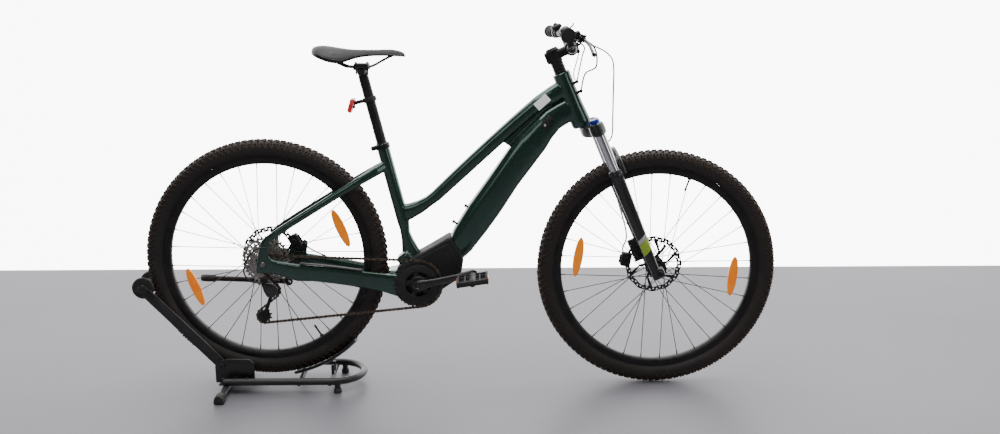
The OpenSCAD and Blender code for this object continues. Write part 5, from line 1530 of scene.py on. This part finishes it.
# remote with its button, on the left side
remoteParts = [roundBar("remoteClamp", [(11.2, 53), (14.4, 53), (15, 54), (15, 66), (14.4, 67), (11.2, 67)],
                        1),
               block("remoteCase", atBar(175, 0, 19.8), (31, 39, 13), 4, axes=(steerAhead, barWay(1),
                   steerUp),
                     segments=3),
               turned("bezel", [(6.4, 26), (8, 26), (8.4, 27.5), (7.4, 28.6), (6.4, 28.6)], atBar(175, 0, 0)
                      + Vector((0, 0.006, 0)), 28, **steerLine)]
settle(joined("remote", remoteParts), "steering", "blackPlastic", ("remote",))
button = turned("remoteButton", [(0, 27.6), (5.6, 27.6), (6, 28), (6, 31.6), (5.4, 32.5), (3, 32.1),
                                 (0, 32)],
                atBar(175, 0, 0) + Vector((0, 0.006, 0)), 28, **steerLine)
settle(button, "button", "buttonGrey", ("remote_button",))
bell = turned("bell", [(0, 0), (15, 0), (15.6, 2), (14.6, 8), (9, 13), (0, 14.6)], atBar(-100, -4, 13), 32,
              **steerLine)
bellBase = block("bellBase", atBar(-100, 0, 6), (24, 14, 16), 3, axes=forkAxes)
striker = pipe("striker", [atBar(-100, 10, 15), atBar(-104, 22, 19), atBar(-108, 27, 24)], 2.2, 3, 3)
settle(joined("bell", [bell, bellBase, striker]), "steering", "blackGloss")
print("cockpit built")


# hoses and cables; each runs from a fitting to a fitting and rides one body, or stays fixed in place where it
# spans two


def hoseAlong(name, points, radius, holder, other=None):
    line = smoothLine([Vector(p) for p in points], 7)
    hose = pipe(name, line, radius, 1, 3)
    hold(hose)
    bpy.ops.object.shade_smooth_by_angle(angle=math.radians(60))
    hose.data.materials.clear()
    hose.data.materials.append(skin["hoseJacket"])
    if other:
        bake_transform(hose)
    else:
        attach(hose, holder)
    return hose


barLeft = atBar(212, 22, -16)
front = [barLeft + Vector((14, -20, -4)) / 1000,
         Vector((steerFoot.x - 0.124, 0.236, onFork(60, 0, 726).z - 0.008)),
         Vector((steerFoot.x - 0.097, 0.170, onFork(60, 0, 696).z)),
         Vector((steerFoot.x - 0.092, 0.096, onFork(60, 0, 665).z)),
         Vector((steerFoot.x - 0.091, 0.094, 0.900)), Vector((steerFoot.x - 0.091, 0.095, 0.830)),
         Vector((steerFoot.x - 0.092, 0.096, 0.770)), onFork(46, 95, 390), onFork(26, 92, 290),
         onFork(6, 88, 120), onFork(-24, 76, 78), onFork(-30, 58, 60)]
frontHose = hoseAlong("frontHose", front, 2.5, "steering", "fork_lower")
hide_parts("front_hose")
barRight = atBar(-212, 22, -16)
rear = [barRight + Vector((14, 20, -4)) / 1000, barRight + Vector((52, 46, -30)) / 1000,
        barRight + Vector((64, 100, -84)) / 1000, onFork(62, -56, 645), onFork(34, -29, 601)]
rearHose = hoseAlong("rearHose", rear, 2.5, "steering", "frame")
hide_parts("rear_lines")
shiftRun = [onFork(66, -130.6, 755), onFork(84, -110, 722), onFork(72, -60, 695), onFork(33, -26, 631)]
hoseAlong("shiftCable", shiftRun, 2.2, "steering", "frame")
remoteRun = [onFork(68, 150, 758), onFork(82, 110, 720), onFork(74, 50, 699), onFork(36, 10, 655),
             onFork(30, -18, 637)]
hoseAlong("remoteCable", remoteRun, 1.8, "steering", "frame")
stayRun = [nearRear(*p) for p in ((168, 60, -8), (140, 60, 4), (112, 58, 22), (108, 55, 34))]
hoseAlong("stayHose", stayRun, 2.5, "frame")
loopRun = [nearRear(*p) for p in ((14, -86, 52), (-18, -90, 48), (-46, -92, 14), (-54, -92, -24),
                                  (-34, -92, -50),
                                  (-9, -92, -54))]
hoseAlong("shiftLoop", loopRun, 2.2, "frame")
ports = [turned("port", [(2.6, -3), (5, -3), (5.4, 2), (4.4, 5), (2.6, 5)], p, 20,
                axis=(q - p).normalized(),
                ahead=leftward) for p, q in ((rear[-1], rear[-2]), (shiftRun[-1], shiftRun[-2]))]
ports += [pipe("portStub", [onFork(15, -14, t), p], 4.4, 1, 3)
          for t, p in ((598, rear[-1]), (628, shiftRun[-1]))]
settle(joined("cablePorts", ports), "frame", "blackPlastic")
print("hoses built")


# floor stand: rails 90 either side of the middle, at one height
standLook = {"rail": 11, "railHeight": 36, "half": 90, "bar": 7}
ground = Vector((rearAxle.x, 0, 0))


def onFloor(x, y, z):
    return ground + Vector((x, y, z)) / 1000


half, railHeight = standLook["half"], standLook["railHeight"]
straight = (-134, 0, 120, 195)
loop = [onFloor(x, -half, railHeight) for x in straight]
loop += [onFloor(195 + half * math.sin(t), -half * math.cos(t), railHeight)
         for t in [math.pi * k / 12 for k in range(1, 12)]]
loop += [onFloor(x, half, railHeight) for x in straight[::-1]]
tubework = [pipe("rail", loop, standLook["rail"], 4, 5)]
tubework.append(turned("cross", [(0, -165), (11, -165), (12.5, -163), (12.5, 163), (11, 165), (0, 165)],
                       onFloor(-128, 0, 14), 36))
for x in (95, 190):
    tubework.append(pipe("tie", [onFloor(x, -half, 28), onFloor(x, half, 28)], standLook["bar"], 2, 4))
for s in (-1, 1):
    tubework.append(pipe("post", [onFloor(214, s * 88, 13), onFloor(214, s * 88, 36)], 9, 1, 4))
    for x in (95, 190):
        top = 385 - math.sqrt(373 ** 2 - x * x)
        tubework.append(pipe("strut", [onFloor(x, s * 18, 26), onFloor(x, s * 18, top)], 5, 1, 3))
    bracket = plate("bracket", [onFloor(*p) for p in [
        (-165, 0, 24), (-45, 0, 24), (-45, 0, 86), (-60, 0, 98), (-120, 0, 100), (-138, 0, 97),
        (-153, 0, 96),
        (-164, 0, 86), (-166, 0, 74)]], s * 57, s * 61, 1.2)
    tubework.append(bracket)
    tubework.append(block("shelf", onFloor(-100, s * 75, 26), (100, 30, 4), 1.2))
    tubework.append(capBolt(onFloor(-145, s * 61, 78), (0, s, 0), 10, 6))
    tubework.append(capBolt(onFloor(-62, s * 61, 54), (0, s, 0), 6, 5))
    tubework.append(capBolt(onFloor(-100, s * 61, 40), (0, s, 0), 4.5, 3))
    for x in (-134, -100, -62):
        tubework.append(capBolt(onFloor(x, s * 90, 47), (0, 0, 1), 4, 2))
tubework.append(pipe("spindle", [onFloor(-145, -62, 78), onFloor(-145, 62, 78)], 6, 1, 4))

# channel that the tyre sits in: a floor with two flared walls, swept round the wheel
trough = []
first, last = math.radians(-78.4), math.radians(-44)
for k in range(25):
    a = first + (last - first) * k / 24
    out = ray(a)
    section = [(371.2, -24.4), (366.4, -38.6), (362, -38.6), (362, -40.6), (368.4, -40.6), (375.2, -26),
               (375.2, 26), (368.4, 40.6), (362, 40.6), (362, 38.6), (366.4, 38.6), (371.2, 24.4)]
    trough.append([rearAxle + out * r / 1000 + Vector((0, y / 1000, 0)) for r, y in section])
channel = rounded(drawnOut("channel", trough), 0.6, 1, 40)
tubework.append(channel)
settle(joined("standBase", tubework), "stand", "standPaint", ("stand_base",))

feet = []
for s in (-1, 1):
    feet.append(turned("endFoot", [(12.6, 153), (13.6, 153), (14, 155), (14, 182), (12, 185), (0, 185),
                                   (0, 181),
                                   (12.6, 181)], onFloor(-128, 0, 14), 32, axis=(0, s, 0)))
    feet.append(block("pad", onFloor(-128, s * 169, 7), (30, 31, 13.9), 3, segments=3))
    feet.append(turned("glide", [(0, 0), (11, 0), (12, 1.4), (12, 11), (10.6, 13), (0, 13)],
                       onFloor(214, s * 88, 0), 28,
                       axis=(0, 0, 1)))
settle(joined("standFeet", feet), "stand", "footRubber", ("stand_feet",))

# swinging arms with a pressed rib, cross bar and washers
hinge, top = onFloor(-145, 0, 78), onFloor(-376, 0, 322)
reach = (top - hinge).length * 1000
way = (top - hinge).normalized()
over = Vector((way.z, 0, -way.x))


def onArm(a, b, y=0.0):
    return hinge + (way * a + over * b) / 1000 + Vector((0, y / 1000, 0))


armParts = []
for s in (-1, 1):
    armParts.append(plate("arm", [onArm(a, b) for a, b in [
        (-15, -5), (-15, 5), (-9, 14), (10, 16), (40, 16.5), (reach - 24, 15.5), (reach - 2, 12),
        (reach + 9, 6),
        (reach + 9, -6), (reach - 2, -12), (reach - 24, -15.5), (40, -16.5), (10, -16),
        (-9, -14)]], s * 47.4,
        s * 52.8, 1.4, 3))
    armParts.append(plate("rib", [onArm(a, b) for a, b in [
        (44, -6), (44, 6), (52, 8.5), (reach - 52, 8), (reach - 44, 6), (reach - 44, -6), (reach - 52, -8),
        (52, -8.5)]], s * 52.4, s * 54.2, 0.9))
    armParts.append(turned("washer", [(6.3, 47), (16, 47), (17, 48), (17, 55), (15.5, 56), (6.3, 56)],
                           hinge, 32,
                           axis=(0, s, 0)))
    armParts.append(turned("nut", [(0, 45), (12, 45), (13, 46), (13, 53), (12, 54), (0, 54)], top, 32,
                           axis=(0, s, 0)))
    armParts.append(capBolt(top + Vector((0, s * 0.054, 0)), (0, s, 0), 7, 3.6))
armParts.append(pipe("armSpindle", [top - Vector((0, 0.046, 0)), top + Vector((0, 0.046, 0))], 6, 1, 4))
settle(joined("standArms", armParts), "stand_arm", "standPaint", ("stand_arms",))
roller = turned("standRoller", [(6.4, -44), (31, -44), (33, -42.4), (33, -37.4), (31, -35.8), (26, -35),
                                (14.5, -33.5),
                                (13, -31), (13, 31), (14.5, 33.5), (26, 35), (31, 35.8), (33, 37.4),
                                (33, 42.4),
                                (31, 44), (6.4, 44)], top, 56)
settle(roller, "stand_roller", "footRubber", ("stand_roller",))
print("stand built")


# kickstand, folded up beside the wheel
kick = nearRear(44, 0, -97)
legLine = [kick + Vector(p) / 1000 for p in ((0, 88, 0), (-30, 91.5, 0.4), (-150, 104, 2.4),
                                             (-240, 112.8, 3.5),
                                             (-268, 115.6, 4))]
leg = pipe("kickLeg", legLine, 8.5, 5, 5, radii=[1.25, 1.1, 1.0, 1.0, 1.0])
shoe = pipe("kickShoe", [kick + Vector((-240, 112.8, 3.5)) / 1000, kick + Vector((-262, 115, 3.9)) / 1000,
                         kick + Vector((-284, 117.2, 4.2)) / 1000], 12, 4, 4, radii=[0.86, 1.0, 0.98, 0.86])
eye = turned("kickEye", [(6.4, 80), (12, 80), (13, 81), (13, 94), (12, 95), (6.4, 95)], kick, 32)
adjust = [capBolt(kick + Vector((-52 - 16 * k, 84 + 1.6 * k, 0.8)) / 1000, (0, -1, 0), 3, 2)
          for k in range(2)]
settle(joined("kickLeg", [leg, eye] + adjust), "kickstand", "blackAnodised", ("kickstand",))
settle(shoe, "kickstand", "footRubber")

# small fittings on the frame: control unit, paper label, bolts and the stay's guard
labelSize = (0.047, 0.026)
controlAt = onFork(-95, -31.5, 554)
longWay = (nearCrank(306, 0, 438) - nearCrank(220, 0, 314)).normalized()
crossWay = longWay.cross(leftward)
control = block("controlUnit", controlAt, (40, 5, 19), 2.2, axes=(longWay, leftward, crossWay), segments=3)
rocker = block("controlKey", controlAt + Vector((0, -0.003, 0)) + longWay * 0.006, (15, 2.4, 9), 1.1,
               axes=(longWay, leftward, crossWay))
settle(joined("controlUnit", [control, rocker]), "frame", "blackPlastic")
lamp = turned("controlLamp", [(0, 0), (3, 0), (3.6, 0.5), (3, 1.4), (0, 1.6)],
              controlAt + Vector((0, -0.0026, 0)) - longWay * 0.011, 20, axis=(0, -1, 0))
settle(lamp, "frame", "paleStripe")
onTop = (nearCrank(290, 0, 496) - nearCrank(166, 0, 384)).normalized()
topNormal = Vector((-onTop.z, 0, onTop.x))
labelAt = nearCrank(366, 0, 560) - topNormal * 0.0145 + Vector((0, -0.0242, 0))
paper = drawnOut("hangTag", [
    [labelAt + onTop * u * labelSize[0] / 2 + topNormal * v * labelSize[1] / 2
     + Vector((0, -0.0012 * (1 - u * u) - 0.0015 * curl, 0))
     for v, curl in ((-1, 0), (-0.3, 0.4), (0.4, 0.2), (1, 0))] for u in (-1, -0.5, 0, 0.5,
         1)], capped=False)
finishWith(paper, "SOLIDIFY", thickness=0.0004, offset=0)
settle(paper, "frame", "labelPaper")
boltParts = []
for share, end in ((0.42, nearCrank(290, 0, 496)), (0.69, nearCrank(358, 0, 556))):
    place = nearCrank(166, 0, 384).lerp(end, share)
    boltParts.append(capBolt(place + topNormal * 0.0005, topNormal, 4.2, 4.75))
tubeNormal = Vector((-longWay.z, 0, longWay.x))
for x, z in ((146, 231), (109, 181.5)):
    boltParts.append(capBolt(nearCrank(x, 0, z) - tubeNormal * 0.002, tubeNormal, 5.2, 6))
    boltParts.append(pipe("boss", [nearCrank(x, 0, z) - tubeNormal * 0.03, nearCrank(x, 0, z)], 3.4, 1, 3))
settle(joined("frameBolts", boltParts), "frame", "blackAnodised")
guard = drawnOut("chainstayGuard", [
    [nearRear(x, y, z) for y, z in ((-y0, zt), (-y0 - 1.2, zt + 1.4), (-y1 + 1.2, zt + 1.4), (-y1, zt))]
    for x, zt, y0, y1 in ((110, 0.5, 66.5, 80.5), (170, -6.5, 60.5, 75), (240, -17.5, 52, 67),
                          (296, -28, 45, 58))],
    capped=False)
finishWith(guard, "SOLIDIFY", thickness=0.0014, offset=1)
settle(guard, "frame", "blackPlastic")

# what stays as the source drew it still gets a finish
carried = {"chain": "chainSteel", "battery": "blackPlastic"}
for name, finish in carried.items():
    piece = frame["nodes"][name]
    for place in piece.material_slots:
        place.material = skin[finish]
    if not piece.material_slots:
        piece.data.materials.append(skin[finish])
print("fittings built")


# stage, light and camera
stageLook = {"floor": (0.225, 0.215, 0.24), "wallShown": 9.0, "wallLight": 2.2, "wallAt": 1.45, "sky": 0.07,
             "top": 62,
             "front": 10, "side": 7}


def stageMaterial(name, low, high, scale, rough, glow=0.0, shown=0.0):
    # a glowing wall lights the object less than it shows itself
    material = bpy.data.materials.new(name)
    material.use_nodes = True
    tree = material.node_tree
    shader = tree.nodes["Principled BSDF"]
    cloud = placed(tree, "cloud", Scale=scale, Low=0.3, High=0.7)
    wire(tree, blended(tree, cloud, low, high), shader.inputs["Base Color"])
    shader.inputs["Roughness"].default_value = rough
    if glow:
        seen = maths(tree, "MULTIPLY", node(tree, "ShaderNodeLightPath").outputs["Is Camera Ray"],
                     shown - glow)
        strength = maths(tree, "ADD", seen, glow)
        tint = node(tree, "ShaderNodeCombineColor")
        for channel in ("Red", "Green", "Blue"):
            wire(tree, strength, tint.inputs[channel])
        wire(tree, tint.outputs[0], shader.inputs["Emission Color"])
        shader.inputs["Emission Strength"].default_value = 1.0
    return material


tone = stageLook["floor"]
calm()
bpy.ops.mesh.primitive_plane_add(size=24, location=(0, -6, -0.0006))
floor = bpy.context.object
floor.name = "studioFloor"
floor.data.materials.append(stageMaterial("studioFloor", tuple(c * 0.86 for c in tone), tone, 1.1, 0.42))
calm()
bpy.ops.mesh.primitive_plane_add(size=24, location=(0, stageLook["wallAt"], 6), rotation=(math.radians(90),
    0, 0))
wall = bpy.context.object
wall.name = "studioWall"
wall.data.materials.append(stageMaterial("studioWall", (0.86, 0.86, 0.86), (0.9, 0.9, 0.9), 0.5, 0.8,
                                         stageLook["wallLight"], stageLook["wallShown"]))
for piece in (floor, wall):
    hold(piece)
    bpy.ops.object.transform_apply(location=True, rotation=True, scale=True)


def softLight(name, place, aim, size, power, tint=(1, 1, 1)):
    light = bpy.data.lights.new(name, "AREA")
    light.shape = "RECTANGLE"
    light.size, light.size_y = size
    light.energy = power
    light.color = tint
    lamp = bpy.data.objects.new(name, light)
    bpy.context.scene.collection.objects.link(lamp)
    lamp.location = place
    lamp.rotation_euler = (Vector(aim) - Vector(place)).to_track_quat("-Z", "Y").to_euler()


softLight("topSoftbox", (0.2, -0.3, 2.7), (0.05, 0, 0.5), (3.4, 1.5), stageLook["top"])
softLight("frontSoftbox", (-1.2, -3.6, 1.9), (0, 0, 0.5), (1.8, 1.2), stageLook["front"])
softLight("sideSoftbox", (2.6, -1.9, 1.5), (0.3, 0, 0.6), (1.2, 1.2), stageLook["side"], (1.0, 0.98, 0.95))

world = bpy.data.worlds.new("studio")
bpy.context.scene.world = world
world.use_nodes = True
world.node_tree.nodes["Background"].inputs[0].default_value = (1.0, 1.0, 1.0, 1)
world.node_tree.nodes["Background"].inputs[1].default_value = stageLook["sky"]

view = bpy.data.cameras.new("camera")
view.lens = 36
view.sensor_width = 36
camera = bpy.data.objects.new("camera", view)
bpy.context.scene.collection.objects.link(camera)
camera.location = (0.072, -3.012, 1.141)
camera.rotation_euler = (math.radians(90 - 11.44), 0, math.radians(-1.13))
bpy.context.scene.camera = camera

print("stage and camera set")
